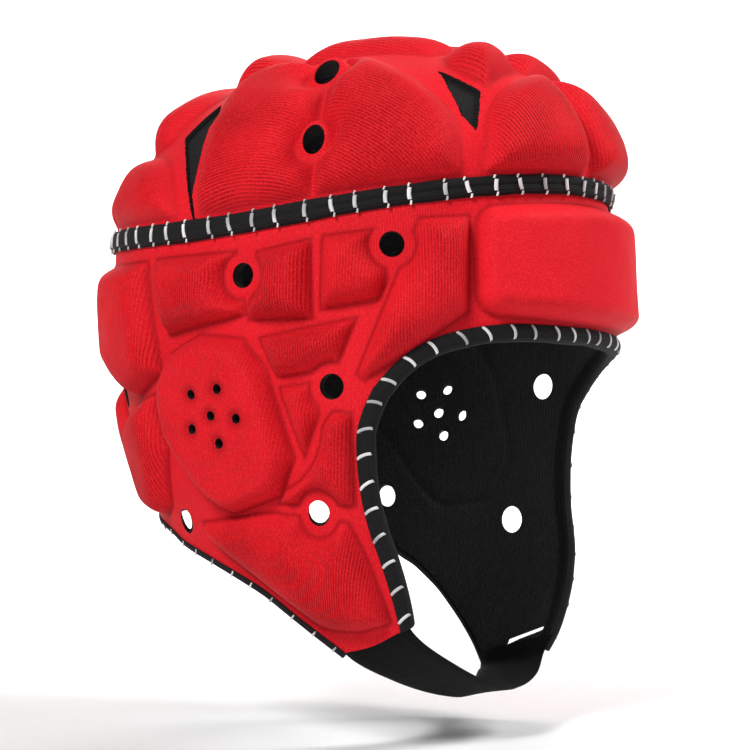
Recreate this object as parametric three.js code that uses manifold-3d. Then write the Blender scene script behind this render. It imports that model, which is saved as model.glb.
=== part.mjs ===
// Padded head guard for a goalkeeper, sizes in millimetres
// +Z is up, the face opening looks towards -Y and the wearer's right is -X
import * as THREE from "three";
import Module from "manifold-3d";

const wasm = await Module();
wasm.setup();

// Heights in the tables are measured from the ear line; the origin is the top of the lining
const SEAT_ABOVE_EARS = 133.3;

// Layers, measured outwards from the face of the flat cover between the pads
const COVER_THICK = 1.6;
const LAYER_GAP = 0.3;
const LINING_THICK = 2.5;
const JOIN_GAP = 1;
const LINING_OUTSIDE = -(COVER_THICK + LAYER_GAP);
const LINING_INSIDE = LINING_OUTSIDE - LINING_THICK;

// The head form, one row for each height: half width, reach to front and back, squareness in front
const SECTIONS = [
  { height: 100, halfWidth: 80.0, front: 97.0, back: 103.0, squareness: 2.1 },
  { height: 80, halfWidth: 81.5, front: 98.5, back: 104.5, squareness: 2.1 },
  { height: 60, halfWidth: 82.5, front: 99.5, back: 106.0, squareness: 2.15 },
  { height: 40, halfWidth: 83.0, front: 100.0, back: 106.0, squareness: 2.2 },
  { height: 15, halfWidth: 82.0, front: 100.0, back: 103.5, squareness: 2.4 },
  { height: 0, halfWidth: 80.5, front: 100.0, back: 99.5, squareness: 2.5 },
  { height: -15, halfWidth: 79.0, front: 100.0, back: 95.0, squareness: 2.6 },
  { height: -30, halfWidth: 76.5, front: 98.0, back: 89.0, squareness: 2.7 },
  { height: -55, halfWidth: 71.0, front: 92.0, back: 78.0, squareness: 2.8 },
  { height: -75, halfWidth: 65.5, front: 83.0, back: 70.0, squareness: 2.8 },
  { height: -95, halfWidth: 59.0, front: 74.0, back: 64.0, squareness: 2.8 },
  { height: -115, halfWidth: 51.0, front: 68.0, back: 60.0, squareness: 2.8 },
];
const BACK_SQUARENESS = 2.2;

// The headband rises from the sides to the front, and the crown leans forward over it
const BAND = { sides: 67.3, tilt: 8, brow: 7 };
const CROWN_TOP = 139;
const CROWN_LEAN = 12;
const CROWN_REACH = 112;

// The left flap hangs a little turned: its front lower, its back higher
const FLAP_TURN = { slope: 0.2, pivot: 10, full: 40 };

// The lower edge of each side, as girth from the front centre and height
const RIGHT_EDGE = {
  brow: [[0, 28.3], [30, 29], [46, 28.8], [62, 26.5], [75, 22], [85, 15], [93, 6]],
  cheek: [[93, 6], [97, -3], [99, -13], [97.5, -31], [94, -45], [90, -55], [85, -68], [80, -82]],
  tip: [[80, -82], [93, -88], [107, -91]],
  neck: [[107, -91], [130, -78.8], [151, -67.3], [176, -58], [198, -52], [214, -47], [256, -42]],
};
const LEFT_EDGE = {
  brow: [[0, 28.3], [20, 27], [35, 26], [48, 25], [62, 22.5], [74, 18], [83.5, 11.5], [91, 3.5]],
  cheek: [
    [91, 3.5], [94.5, -4], [96.5, -13], [96.5, -22], [94.3, -31.5], [88.5, -44],
    [85.5, -53.5], [81.5, -69.5], [80.5, -78], [82, -85.5],
  ],
  tip: [[82, -85.5], [96, -95.5], [113, -100]],
  neck: [
    [113, -100], [123.8, -92.6], [132.3, -87.1], [143.3, -80.6], [154.3, -74.6], [167.8, -68.6],
    [180.3, -64.6], [198, -56], [214, -49], [256, -42],
  ],
};
const NAPE_HEIGHT = -41;
const BACK_DIVIDE = 2;

// Pads of one side: corners as girth and height, with swell and width of slope where not the usual
const SIDE_SWELL = 9;
const SIDE_SLOPE = 9;
const SIDE_PADS = [
  { name: "back_upper_pad", corners: [[242, 56], [294, 56], [294, 12], [247, 12]] },
  { name: "rear_upper_pad", corners: [[198, 55.5], [235, 55.5], [240, 16], [210, 3], [189.5, 12.5]] },
  { name: "over_ear_pad", corners: [[149, 57], [192.5, 56], [184, 26.5], [144, 33.5]] },
  { name: "side_upper_pad", corners: [[140, 56.5], [117.3, 60.5], [116.3, 31.5], [143.5, 31.5]] },
  { name: "temple_upper_pad", corners: [[112.7, 61.5], [92, 63.5], [88, 45], [91.5, 38], [113.2, 34.5]] },
  {
    name: "temple_pad",
    swell: 10,
    slope: 11,
    corners: [[57.5, 68.5], [76.5, 67.5], [99.5, 11.5], [96.5, 9], [59, 33.5]],
  },
  { name: "front_of_ear_pad", swell: 8.5, corners: [[138.5, 25], [99.5, 31.8], [107, 13.7], [131, 10.3]] },
  {
    name: "small_cheek_pad",
    swell: 7,
    slope: 8,
    corners: [[130.5, 7], [117, 8.5], [114, -3], [120.5, -18.5]],
  },
  {
    name: "face_edge_pad",
    swell: 7.5,
    slope: 8,
    corners: [[108.5, -1.5], [101.5, -2.5], [100, -36], [134, -36]],
  },
  {
    name: "cheek_pad",
    slope: 11,
    corners: [
      [178, -44], [138, -39], [103, -42], [96.5, -53], [84.5, -79],
      [99, -83], [119, -82], [152, -63.5], [172, -52.5],
    ],
  },
  {
    name: "rear_lower_pad",
    corners: [[217, 0], [196.5, 5], [192, -16], [199.5, -38.5], [208, -43], [224, -40], [229, -8]],
  },
  { name: "back_lower_pad", corners: [[243, 7], [294, 7], [294, -38], [229, -39.5], [234, -8]] },
  {
    name: "ear_cup",
    swell: 8.5,
    slope: 7,
    corners: [
      [166, 27], [146, 25], [136, 14], [124.8, -19], [132, -33],
      [157, -40.5], [169.5, -34], [188.5, -12], [191, 5], [182.5, 20],
    ],
  },
];
const FOREHEAD_SIZE = { halfWidth: 54, top: 71.5, peak: 75, rightBottom: 32.4, leftBottom: 27, corner: 7 };
const FOREHEAD = { name: "forehead_pad", swell: 12, slope: 8 };

// Pads of one half of the crown, as reach to the side and to the front on the crown laid flat
const CROWN_PADS = [
  {
    name: "crown_rear_side_pad",
    corners: [[122, 45], [52, 7.5], [38, -4], [37, -23], [50, -30.5], [72, -30], [122, -25]],
  },
  {
    name: "crown_front_side_pad",
    corners: [[122, 51], [41, 8], [31, 5], [25.5, 29], [34.5, 46], [49, 68], [51.5, 78], [73, 108]],
  },
  {
    name: "crown_top_front_pad",
    corners: [[2.2, -16], [31.5, -16], [28.5, -3], [20.5, 28], [2.2, 28.5]],
  },
  {
    name: "crown_top_rear_pad",
    swell: 11.1,
    corners: [[2.2, -20], [32.3, -20], [33, -22], [36.5, -33], [30, -37], [2.2, -34]],
  },
  {
    name: "crown_front_upper_pad",
    corners: [[2.2, 32.5], [18.5, 31.5], [26.5, 40], [27.3, 57.5], [2.2, 48]],
  },
  {
    name: "crown_front_lower_pad",
    corners: [[2.2, 53], [28, 63], [39.5, 71], [50, 86], [67, 116], [2.2, 120]],
  },
  {
    name: "crown_back_upper_pad",
    swell: 11.6,
    corners: [[2.2, -39], [31, -42], [52, -53.5], [46, -64], [2.2, -72]],
  },
  {
    name: "crown_back_side_pad",
    swell: 10.6,
    corners: [[57, -56], [66, -50], [83, -44], [120, -38], [80, -118], [45.5, -68]],
  },
  { name: "crown_back_lower_pad", corners: [[2.2, -76.5], [41.5, -69], [74, -120], [2.2, -120]] },
];
const CROWN_SWELL = 8.6;
const CROWN_SLOPE = 11;

// Foam stays clear of the vents, of the ear cup's edge and of the headband tape
const PAD_SEAT = 0.9;
const PAD_RIM = 0.9;
const PAD_EDGE_STEP = 12;
const PAD_RING = 14;
const PAD_SHOULDER = 0.82;
const VENT_LAND = 4.2;
const BAND_LAND = 5.6;
const FACE_EDGE_HOLLOW = { at: [136, -8], radius: 23 };

// Vents
const VENT_RADIUS = 4.7;
const RIGHT_VENTS = [
  { at: [146, 48] }, { at: [86.5, 58] }, { at: [109, 7] },
  { at: [115.5, -39] }, { at: [190, -44] }, { at: [234, 4] },
];
const LEFT_VENTS = [
  { at: [146, 48] }, { at: [86.5, 58] }, { at: [109.5, 8], radius: 5.4, lean: 0.9 },
  { at: [120, -41], radius: 5.4, lean: 0.68 }, { at: [187, -44.5] }, { at: [234, 4] },
];
const CROWN_VENTS = [[48, 8], [81, 26]];
const PLUG = { out: 14, in: -9 };
const EAR_HOLE_RADIUS = 1.9;
const EAR_HOLES = [[166.5, 5], [153.5, 7], [157.5, -3], [145.5, -4], [167.5, -8], [154.5, -13]];
const LEFT_EAR_HOLES = { radius: 2.5, back: 5.6, lean: 0.46 };
const REAR_DART = [
  [42, -37], [48, -41], [56, -46.5], [75, -40.5], [90, -36], [105, -31],
  [104, -29.8], [93, -33], [80, -32.5], [70, -33.5], [60, -34.5], [51, -33.5],
];
const FRONT_DART = [[30.5, 39.5], [30.8, 58.5], [46, 74.5], [45.5, 65], [39, 52.5]];

// Tapes, strap and the slot that the strap's end tucks into
const TAPE = { half: 4, edge: 1.3, crown: 2.4 };
const FACE_TAPE = { reach: 5.8, edge: 0.9, middle: 1.2, tip: -0.6, inner: -5.1 };
const NECK_TAPE = { reach: 2.8, edge: 0.9, middle: 1.0, tip: -0.8, inner: -5.1 };
const STRAP_THICK = 1.8;
const STRAP_EASE = 1.2;
const STRAP_LAP = LINING_INSIDE - LAYER_GAP - STRAP_EASE - STRAP_THICK / 2;
const STRAP_LOOP = [
  { front: [-28, -59.5, -97], rear: [-33, -35, -103.5] },
  { front: [0, -62, -109.5], rear: [0, -37, -110.5] },
  { front: [31, -60.5, -105.5], rear: [37, -30, -107] },
];
const LAP_RIGHT = { front: [82, -72], rear: [113, -80] };
const TIP_RIGHT = { front: [76, -84.5], rear: [112.5, -93] };
const LAP_LEFT = { front: [-66, -79.5], rear: [-115, -97.5] };
const TIP_LEFT = { front: [-67, -86.5], rear: [-112.5, -102.5] };
const STRAP_SLOT = { from: [-82.5, -78.5], to: [-103.5, -89.5], width: 2.1 };

// How finely the walls are cut
const BROW_COLUMNS = 8;
const SIDE_COLUMNS = 13;
const UPPER_ROWS = 4;
const LOWER_ROWS = 6;
const CROWN_RINGS = 5;
const CROWN_SEGMENTS = 36;
const VENT_SIDES = 10;
const EAR_HOLE_SIDES = 6;
const TAPE_STEPS = 60;
const STRAP_STEPS = 24;
const HALVINGS = 40;

function sectionAt(height) {
  let row = 1;
  while (row < SECTIONS.length - 3 && height < SECTIONS[row + 1].height) row += 1;
  const [before, start, end, after] = [-1, 0, 1, 2].map((k) => SECTIONS[row + k]);
  const span = end.height - start.height;
  const t = (height - start.height) / span;
  const value = {};
  for (const key of ["halfWidth", "front", "back", "squareness"]) {
    const leave = ((end[key] - before[key]) / (end.height - before.height)) * span;
    const arrive = ((after[key] - start[key]) / (after.height - start.height)) * span;
    value[key] =
      (2 * t ** 3 - 3 * t ** 2 + 1) * start[key] +
      (t ** 3 - 2 * t ** 2 + t) * leave +
      (3 * t ** 2 - 2 * t ** 3) * end[key] +
      (t ** 3 - t ** 2) * arrive;
  }
  return value;
}

function formRadius(angle, height) {
  const { halfWidth, front, back, squareness } = sectionAt(height);
  const ahead = Math.cos(angle) > 0;
  const power = ahead ? squareness : BACK_SQUARENESS;
  const across = Math.abs(Math.sin(angle) / halfWidth) ** power;
  const along = Math.abs(Math.cos(angle) / (ahead ? front : back)) ** power;
  return (across + along) ** (-1 / power);
}

function bandHeight(angle) {
  const c = Math.cos(angle);
  return BAND.sides + BAND.tilt * c + BAND.brow * c * c;
}

// Girth is measured round the form at one height and turned back into an angle
const GIRTH_HEIGHT = 30;
const GIRTH_STEPS = 720;
const girthTable = [0];
for (let k = 1; k <= GIRTH_STEPS; k += 1) {
  const ends = [k - 1, k].map((n) => {
    const angle = (n / GIRTH_STEPS) * Math.PI;
    const r = formRadius(angle, GIRTH_HEIGHT);
    return new THREE.Vector2(r * Math.sin(angle), r * Math.cos(angle));
  });
  girthTable.push(girthTable[k - 1] + ends[0].distanceTo(ends[1]));
}
const HALF_GIRTH = girthTable[GIRTH_STEPS];

function girthAngle(girth) {
  const wanted = Math.abs(girth);
  if (wanted > HALF_GIRTH) return Math.sign(girth) * (2 * Math.PI - girthAngle(2 * HALF_GIRTH - wanted));
  let low = 0;
  let high = GIRTH_STEPS;
  while (high - low > 1) {
    const middle = (low + high) >> 1;
    if (girthTable[middle] <= wanted) low = middle;
    else high = middle;
  }
  const part = (wanted - girthTable[low]) / (girthTable[high] - girthTable[low]);
  return Math.sign(girth) * ((low + part) / GIRTH_STEPS) * Math.PI;
}

function settle(point) {
  if (point.x <= 0 || point.z >= 0) return point;
  const depth = Math.min(1, -point.z / FLAP_TURN.full);
  const side = Math.min(1, point.x / FLAP_TURN.full);
  point.z += FLAP_TURN.slope * (point.y - FLAP_TURN.pivot) * depth * depth * (3 - 2 * depth) * side;
  return point;
}

function sidePlace(girth, height) {
  const angle = girthAngle(girth);
  const r = formRadius(angle, height);
  return settle(new THREE.Vector3(-r * Math.sin(angle), -r * Math.cos(angle), height));
}

function crownPlace(side, ahead) {
  const angle = Math.atan2(side, ahead);
  const down = (Math.hypot(side, ahead) / CROWN_REACH) * (Math.PI / 2);
  const band = bandHeight(angle);
  const r = formRadius(angle, band) * Math.sin(down);
  const rise = Math.cos(down);
  const y = -r * Math.cos(angle) - CROWN_LEAN * rise;
  return new THREE.Vector3(-r * Math.sin(angle), y, band + (CROWN_TOP - band) * rise);
}

const SIDE = { place: sidePlace, outward: -1 };
const CROWN = { place: crownPlace, outward: 1 };

// A point a set distance out from a place on the form
function lift(chart, [p, q], out) {
  const step = 0.4;
  const across = chart.place(p + step, q).sub(chart.place(p - step, q));
  const along = chart.place(p, q + step).sub(chart.place(p, q - step));
  const normal = across.cross(along).normalize();
  const point = chart.place(p, q).addScaledVector(normal, chart.outward * out);
  point.z -= SEAT_ABOVE_EARS;
  return point;
}

// A closed mesh gathered face by face; its faces are turned to look outwards at the end
class Solid {
  constructor() {
    this.points = [];
    this.faces = [];
    this.found = new Map();
  }

  point(v) {
    const key = [v.x, v.y, v.z].map((n) => Math.round(n * 1000)).join(" ");
    if (!this.found.has(key)) {
      this.found.set(key, this.points.length);
      this.points.push(v);
    }
    return this.found.get(key);
  }

  face(...loop) {
    for (let k = 1; k + 1 < loop.length; k += 1) {
      const [a, b, c] = [loop[0], loop[k], loop[k + 1]];
      if (a !== b && b !== c && a !== c) this.faces.push([a, b, c]);
    }
  }

  geometry() {
    const volume = this.faces.reduce((sum, [a, b, c]) => {
      const normal = this.points[b].clone().cross(this.points[c]);
      return sum + this.points[a].dot(normal);
    }, 0);
    const turned = volume < 0 ? this.faces.map(([a, b, c]) => [a, c, b]) : this.faces;
    const geometry = new THREE.BufferGeometry();
    const numbers = this.points.flatMap((v) => v.toArray());
    geometry.setAttribute("position", new THREE.Float32BufferAttribute(numbers, 3));
    geometry.setIndex(turned.flat());
    return geometry;
  }
}

function toManifold(geometry) {
  return new wasm.Manifold(
    new wasm.Mesh({
      numProp: 3,
      vertProperties: new Float32Array(geometry.attributes.position.array),
      triVerts: new Uint32Array(geometry.index.array),
    })
  );
}

function cut(geometry, tools) {
  let body = toManifold(geometry);
  for (const tool of tools) body = body.subtract(toManifold(tool));
  const mesh = body.getMesh();
  const result = new THREE.BufferGeometry();
  result.setAttribute("position", new THREE.Float32BufferAttribute(mesh.vertProperties, 3));
  result.setIndex(Array.from(mesh.triVerts));
  return result;
}

// A wall between two distances out from the form, closed along its open edges
function wall(chart, quads, outside, inside) {
  const solid = new Solid();
  const twin = new Map();
  const edges = new Map();
  for (const quad of quads) {
    const outer = quad.map((place) => {
      const key = solid.point(lift(chart, place, outside));
      if (!twin.has(key)) twin.set(key, solid.point(lift(chart, place, inside)));
      return key;
    });
    const inner = outer.map((key) => twin.get(key));
    solid.face(...outer);
    solid.face(inner[0], ...inner.slice(1).reverse());
    outer.forEach((a, k) => {
      const b = outer[(k + 1) % outer.length];
      if (a === b) return;
      if (edges.has(`${b} ${a}`)) edges.delete(`${b} ${a}`);
      else edges.set(`${a} ${b}`, [a, b]);
    });
  }
  for (const [a, b] of edges.values()) solid.face(b, a, twin.get(a), twin.get(b));
  return solid.geometry();
}

// A plug through the wall, from an outline laid on the form; it may lean along the girth
function plug(chart, outline, lean = 0) {
  const solid = new Solid();
  const ring = (out) => outline.map(([p, q]) => solid.point(lift(chart, [p + lean * out, q], out)));
  const rings = [ring(PLUG.out), ring(PLUG.in)];
  outline.forEach((_, k) => {
    const next = (k + 1) % outline.length;
    solid.face(rings[0][k], rings[1][k], rings[1][next], rings[0][next]);
  });
  const flat = outline.map(([p, q]) => new THREE.Vector2(p, q));
  const turn = THREE.ShapeUtils.isClockWise(flat) ? -1 : 1;
  for (const [a, b, c] of THREE.ShapeUtils.triangulateShape(flat, [])) {
    const [top, bottom] = rings.map((ring) => [ring[a], ring[b], ring[c]]);
    solid.face(...(turn > 0 ? top : top.reverse()));
    solid.face(...(turn > 0 ? bottom.reverse() : bottom));
  }
  return solid.geometry();
}

function round([p, q], radius, sides) {
  return Array.from({ length: sides }, (_, k) => {
    const turn = (k / sides) * 2 * Math.PI;
    return [p + radius * Math.cos(turn), q + radius * Math.sin(turn)];
  });
}

function mirror(places) {
  return places.map(([p, q]) => [-p, q]);
}

// Even points along an edge laid on the form
function spread(edge, count) {
  const curve = new THREE.SplineCurve(edge.map(([p, q]) => new THREE.Vector2(p, q)));
  return curve.getSpacedPoints(count).map((v) => [v.x, v.y]);
}

// A four-sided patch blended from its edges, which run left to right and top to bottom
function patch(top, bottom, left, right) {
  const columns = top.length - 1;
  const rows = left.length - 1;
  const at = (i, j) =>
    [0, 1].map((k) => {
      const s = i / columns;
      const t = j / rows;
      const between = (1 - t) * top[i][k] + t * bottom[i][k] + (1 - s) * left[j][k] + s * right[j][k];
      const above = (1 - s) * top[0][k] + s * top[columns][k];
      const below = (1 - s) * bottom[0][k] + s * bottom[columns][k];
      return between - (1 - t) * above - t * below;
    });
  const quads = [];
  for (let i = 0; i < columns; i += 1) {
    for (let j = 0; j < rows; j += 1) quads.push([at(i, j), at(i + 1, j), at(i + 1, j + 1), at(i, j + 1)]);
  }
  return quads;
}

const TIP_COLUMNS = 3;
const ladder = (from, to, count) =>
  [...Array(count + 1).keys()].map((k) => [0, 1].map((n) => from[n] + ((to[n] - from[n]) * k) / count));

// One half of the sides: its girth is cut into columns shared by the upper and the lower rows
function half({ brow, cheek, tip, neck }) {
  const divide = ladder(cheek[0], [HALF_GIRTH, BACK_DIVIDE], SIDE_COLUMNS);
  const browEdge = spread(brow, BROW_COLUMNS);
  const cheekEdge = spread(cheek, LOWER_ROWS);
  const neckEdge = spread([...neck, [HALF_GIRTH, NAPE_HEIGHT]], SIDE_COLUMNS - TIP_COLUMNS);
  const under = [...browEdge.slice(0, -1), ...divide];
  const over = under.map(([girth]) => [girth, bandHeight(girthAngle(girth)) - JOIN_GAP / 2]);
  const hem = [...spread(tip, TIP_COLUMNS).slice(0, -1), ...neckEdge];
  const upper = patch(
    over,
    under,
    ladder(over[0], under[0], UPPER_ROWS),
    ladder(over.at(-1), under.at(-1), UPPER_ROWS)
  );
  const lower = patch(divide, hem, cheekEdge, ladder(divide.at(-1), hem.at(-1), LOWER_ROWS));
  return { quads: [...upper, ...lower], face: [...browEdge, ...cheekEdge.slice(1)], neck: neckEdge };
}
const rightHalf = half(RIGHT_EDGE);
const leftHalf = half(LEFT_EDGE);
const sideQuads = [...rightHalf.quads, ...leftHalf.quads.map((quad) => mirror(quad).reverse())];

const crownQuads = [];
for (let ring = 0; ring < CROWN_RINGS; ring += 1) {
  for (let k = 0; k < CROWN_SEGMENTS; k += 1) {
    const reach = [ring, ring + 1].map((n) => ((CROWN_REACH - JOIN_GAP / 2) * n) / CROWN_RINGS);
    const spot = (n, r) => {
      const turn = ((n % CROWN_SEGMENTS) / CROWN_SEGMENTS) * 2 * Math.PI;
      return [r * Math.sin(turn), r * Math.cos(turn)];
    };
    crownQuads.push([spot(k, reach[0]), spot(k + 1, reach[0]), spot(k + 1, reach[1]), spot(k, reach[1])]);
  }
}

const bothSides = (outlines) => [...outlines, ...outlines.map(mirror)];
const rightEarTools = EAR_HOLES.map((at) => round(at, EAR_HOLE_RADIUS, EAR_HOLE_SIDES));
const leftEarTools = EAR_HOLES.map(([p, q]) =>
  round([-p - LEFT_EAR_HOLES.back, q], LEFT_EAR_HOLES.radius, EAR_HOLE_SIDES)
);
const slotEnds = [STRAP_SLOT.from, STRAP_SLOT.to];
const slot = [
  ...slotEnds.map(([p, q]) => [p, q + STRAP_SLOT.width / 2]),
  ...slotEnds.map(([p, q]) => [p, q - STRAP_SLOT.width / 2]).reverse(),
];
const ventTool = ({ at, radius = VENT_RADIUS }) => round(at, radius, VENT_SIDES);
const crownVentTools = bothSides(CROWN_VENTS.map((at) => round(at, VENT_RADIUS, VENT_SIDES)));
const dartTools = bothSides([REAR_DART, FRONT_DART]);

// How far a place lies inside a pad, from its edges and from what the foam keeps clear of
function padDepth(pad, [p, q]) {
  let depth = Infinity;
  pad.corners.forEach(([p0, q0], k) => {
    const [p1, q1] = pad.corners[(k + 1) % pad.corners.length];
    const cross = (p1 - p0) * (q - q0) - (q1 - q0) * (p - p0);
    depth = Math.min(depth, (pad.turn * cross) / Math.hypot(p1 - p0, q1 - q0));
  });
  for (const { at, radius } of pad.clear) depth = Math.min(depth, Math.hypot(p - at[0], q - at[1]) - radius);
  if (pad.rim) depth = Math.min(depth, pad.rim - Math.hypot(p, q));
  return depth;
}

function padSwell(pad, place) {
  const t = Math.min(1, Math.max(0, padDepth(pad, place)) / pad.slope);
  return PAD_SEAT + PAD_RIM + (pad.swell - PAD_RIM) * (1 - (1 - t) ** 2);
}

// A foam block: rings drawn in from its outline, with a seat below and a swelled face above
function padSolid(chart, pad) {
  const middle = [0, 1].map((k) => pad.corners.reduce((sum, c) => sum + c[k], 0) / pad.corners.length);
  const centre = pad.centre ?? middle;
  const facing = (place) => Math.atan2(place[1] - centre[1], place[0] - centre[0]);
  const turns = [];
  pad.corners.forEach((corner, k) => {
    const next = pad.corners[(k + 1) % pad.corners.length];
    const length = Math.hypot(next[0] - corner[0], next[1] - corner[1]);
    const parts = Math.max(1, Math.round(length / PAD_EDGE_STEP));
    for (let n = 0; n < parts; n += 1) {
      turns.push(facing([0, 1].map((m) => corner[m] + ((next[m] - corner[m]) * n) / parts)));
    }
  });
  const outline = turns.map((turn) => {
    let near = 0;
    let far = CROWN_REACH;
    for (let n = 0; n < HALVINGS; n += 1) {
      const reach = (near + far) / 2;
      const place = [centre[0] + reach * Math.cos(turn), centre[1] + reach * Math.sin(turn)];
      if (padDepth(pad, place) > 0) near = reach;
      else far = reach;
    }
    return [centre[0] + near * Math.cos(turn), centre[1] + near * Math.sin(turn)];
  });
  const reach = Math.max(...outline.map(([p, q]) => Math.hypot(p - centre[0], q - centre[1])));
  const steps = Math.ceil(reach / PAD_RING);
  const inward = [...Array(steps - 1).keys()].map((k) => (k + 1) / steps);
  const solid = new Solid();
  const ring = (part, raise) =>
    outline.map((edge) => {
      const place = [0, 1].map((k) => centre[k] + (edge[k] - centre[k]) * part);
      return solid.point(lift(chart, place, raise(place)));
    });
  const seat = () => PAD_SEAT;
  const face = (place) => padSwell(pad, place);
  const rings = [
    ...inward.map((part) => ring(part, seat)),
    ring(1, seat),
    ring(1, face),
    ring(PAD_SHOULDER, face),
    ...inward.reverse().map((part) => ring(part * PAD_SHOULDER, face)),
  ];
  const count = outline.length;
  for (let n = 0; n + 1 < rings.length; n += 1) {
    for (let k = 0; k < count; k += 1) {
      const next = (k + 1) % count;
      solid.face(rings[n][k], rings[n][next], rings[n + 1][next], rings[n + 1][k]);
    }
  }
  const base = solid.point(lift(chart, centre, PAD_SEAT));
  const peak = solid.point(lift(chart, centre, padSwell(pad, centre)));
  for (let k = 0; k < count; k += 1) {
    const next = (k + 1) % count;
    solid.face(base, rings[0][next], rings[0][k]);
    solid.face(peak, rings.at(-1)[k], rings.at(-1)[next]);
  }
  return solid.geometry();
}

function turnOf(corners) {
  return THREE.ShapeUtils.isClockWise(corners.map(([p, q]) => new THREE.Vector2(p, q))) ? -1 : 1;
}

// The same pad on the other side of the head
function mirrored(pad) {
  const clear = pad.clear.map(({ at, radius }) => ({ at: [-at[0], at[1]], radius }));
  const corners = mirror(pad.corners).reverse();
  const centre = pad.centre && [-pad.centre[0], pad.centre[1]];
  return { ...pad, name: pad.name.replace("right_", "left_"), corners, clear, centre, turn: turnOf(corners) };
}

// A closed strip drawn through rows of points, one row for each step along it
function strip(rows, joined) {
  const solid = new Solid();
  const rings = rows.map((row) => row.map((v) => solid.point(v)));
  const count = rows[0].length;
  const last = joined ? rings.length : rings.length - 1;
  for (let n = 0; n < last; n += 1) {
    const ahead = rings[(n + 1) % rings.length];
    for (let k = 0; k < count; k += 1) {
      const next = (k + 1) % count;
      solid.face(rings[n][k], rings[n][next], ahead[next], ahead[k]);
    }
  }
  if (!joined) {
    solid.face(...[...rings[0]].reverse());
    solid.face(...rings.at(-1));
  }
  return solid.geometry();
}

const red = () => new THREE.MeshStandardMaterial({ color: 0xd0202c, roughness: 0.75, metalness: 0 });
const black = () => new THREE.MeshStandardMaterial({ color: 0x17181a, roughness: 0.85, metalness: 0 });
const guard = new THREE.Group();

function add(name, geometry, material) {
  const mesh = new THREE.Mesh(geometry, material);
  mesh.name = name;
  guard.add(mesh);
}

// Cover and lining of the crown and of the sides, cut through by the vents
const crownPlugs = crownVentTools.map((outline) => plug(CROWN, outline));
const dartPlugs = dartTools.map((outline) => plug(CROWN, outline));
const earPlugs = [
  ...rightEarTools.map((outline) => plug(SIDE, outline)),
  ...leftEarTools.map((outline) => plug(SIDE, outline, -LEFT_EAR_HOLES.lean)),
];
const ventPlugs = [
  ...RIGHT_VENTS.map((vent) => plug(SIDE, ventTool(vent))),
  ...LEFT_VENTS.map((vent) => plug(SIDE, mirror(ventTool(vent)), -(vent.lean ?? 0))),
];
const slotPlug = plug(SIDE, slot);
const sidePlugs = [...ventPlugs, slotPlug, ...earPlugs];
add("crown_cover", cut(wall(CROWN, crownQuads, 0, -COVER_THICK), [...crownPlugs, ...dartPlugs]), red());
add("side_cover", cut(wall(SIDE, sideQuads, 0, -COVER_THICK), sidePlugs), red());
add("crown_lining", cut(wall(CROWN, crownQuads, LINING_OUTSIDE, LINING_INSIDE), crownPlugs), black());
add("side_lining", cut(wall(SIDE, sideQuads, LINING_OUTSIDE, LINING_INSIDE), sidePlugs), black());

// Pads of the sides, each with its twin
for (const row of SIDE_PADS) {
  const keepClear = (vents) => {
    if (row.name === "ear_cup") return [];
    const lands = vents.map(({ at }) => ({ at, radius: VENT_RADIUS + VENT_LAND }));
    return row.name === "face_edge_pad" ? [...lands, FACE_EDGE_HOLLOW] : lands;
  };
  const usual = { swell: SIDE_SWELL, slope: SIDE_SLOPE };
  const pad = { ...usual, ...row, name: `right_${row.name}`, turn: turnOf(row.corners) };
  const right = { ...pad, clear: keepClear(RIGHT_VENTS) };
  const left = mirrored({ ...pad, clear: keepClear(LEFT_VENTS) });
  for (const one of [right, left]) {
    const tools = { right_ear_cup: earPlugs, left_ear_cup: earPlugs, left_cheek_pad: [slotPlug] }[one.name];
    const solid = padSolid(SIDE, one);
    add(one.name, tools ? cut(solid, tools) : solid, red());
  }
}

// The forehead pad is a rounded block across the front centre
const { halfWidth, top, peak, rightBottom, leftBottom, corner } = FOREHEAD_SIZE;
const brow = [];
for (const [p, q, from] of [
  [halfWidth - corner, top - corner, 0],
  [corner - halfWidth, top - corner, 1],
  [corner - halfWidth, leftBottom + corner, 2],
  [halfWidth - corner, rightBottom + corner, 3],
]) {
  for (const part of [0, 0.5, 1]) {
    const turn = ((from + part) * Math.PI) / 2;
    brow.push([p + corner * Math.cos(turn), q + corner * Math.sin(turn)]);
  }
  if (from === 0) brow.push([0, peak]);
}
const browPad = { ...FOREHEAD, corners: brow, clear: [], turn: turnOf(brow) };
add(FOREHEAD.name, padSolid(SIDE, browPad), red());

// Pads of the crown, each with its twin
const crownClear = CROWN_VENTS.map((at) => ({ at, radius: VENT_RADIUS + VENT_LAND }));
for (const row of CROWN_PADS) {
  const pad = {
    ...row,
    name: `right_${row.name}`,
    clear: crownClear,
    rim: CROWN_REACH - BAND_LAND,
    swell: row.swell ?? CROWN_SWELL,
    slope: CROWN_SLOPE,
    turn: turnOf(row.corners),
  };
  for (const one of [pad, mirrored(pad)]) add(one.name, padSolid(CROWN, one), red());
}

// The headband tape lies over the join of crown and sides
const tapeRows = [];
for (let k = 0; k < TAPE_STEPS; k += 1) {
  const girth = (2 * k / TAPE_STEPS - 1) * HALF_GIRTH;
  const angle = girthAngle(girth);
  const low = (out) => lift(SIDE, [girth, bandHeight(angle) - TAPE.half], out);
  const join = (out) => lift(SIDE, [girth, bandHeight(angle)], out);
  const reach = CROWN_REACH - TAPE.half;
  const high = (out) => lift(CROWN, [reach * Math.sin(angle), reach * Math.cos(angle)], out);
  tapeRows.push([
    low(PAD_SEAT),
    low(TAPE.edge),
    join(TAPE.crown),
    high(TAPE.edge),
    high(PAD_SEAT),
    join(PAD_SEAT),
  ]);
}
add("headband_tape", strip(tapeRows, true), black());

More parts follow.
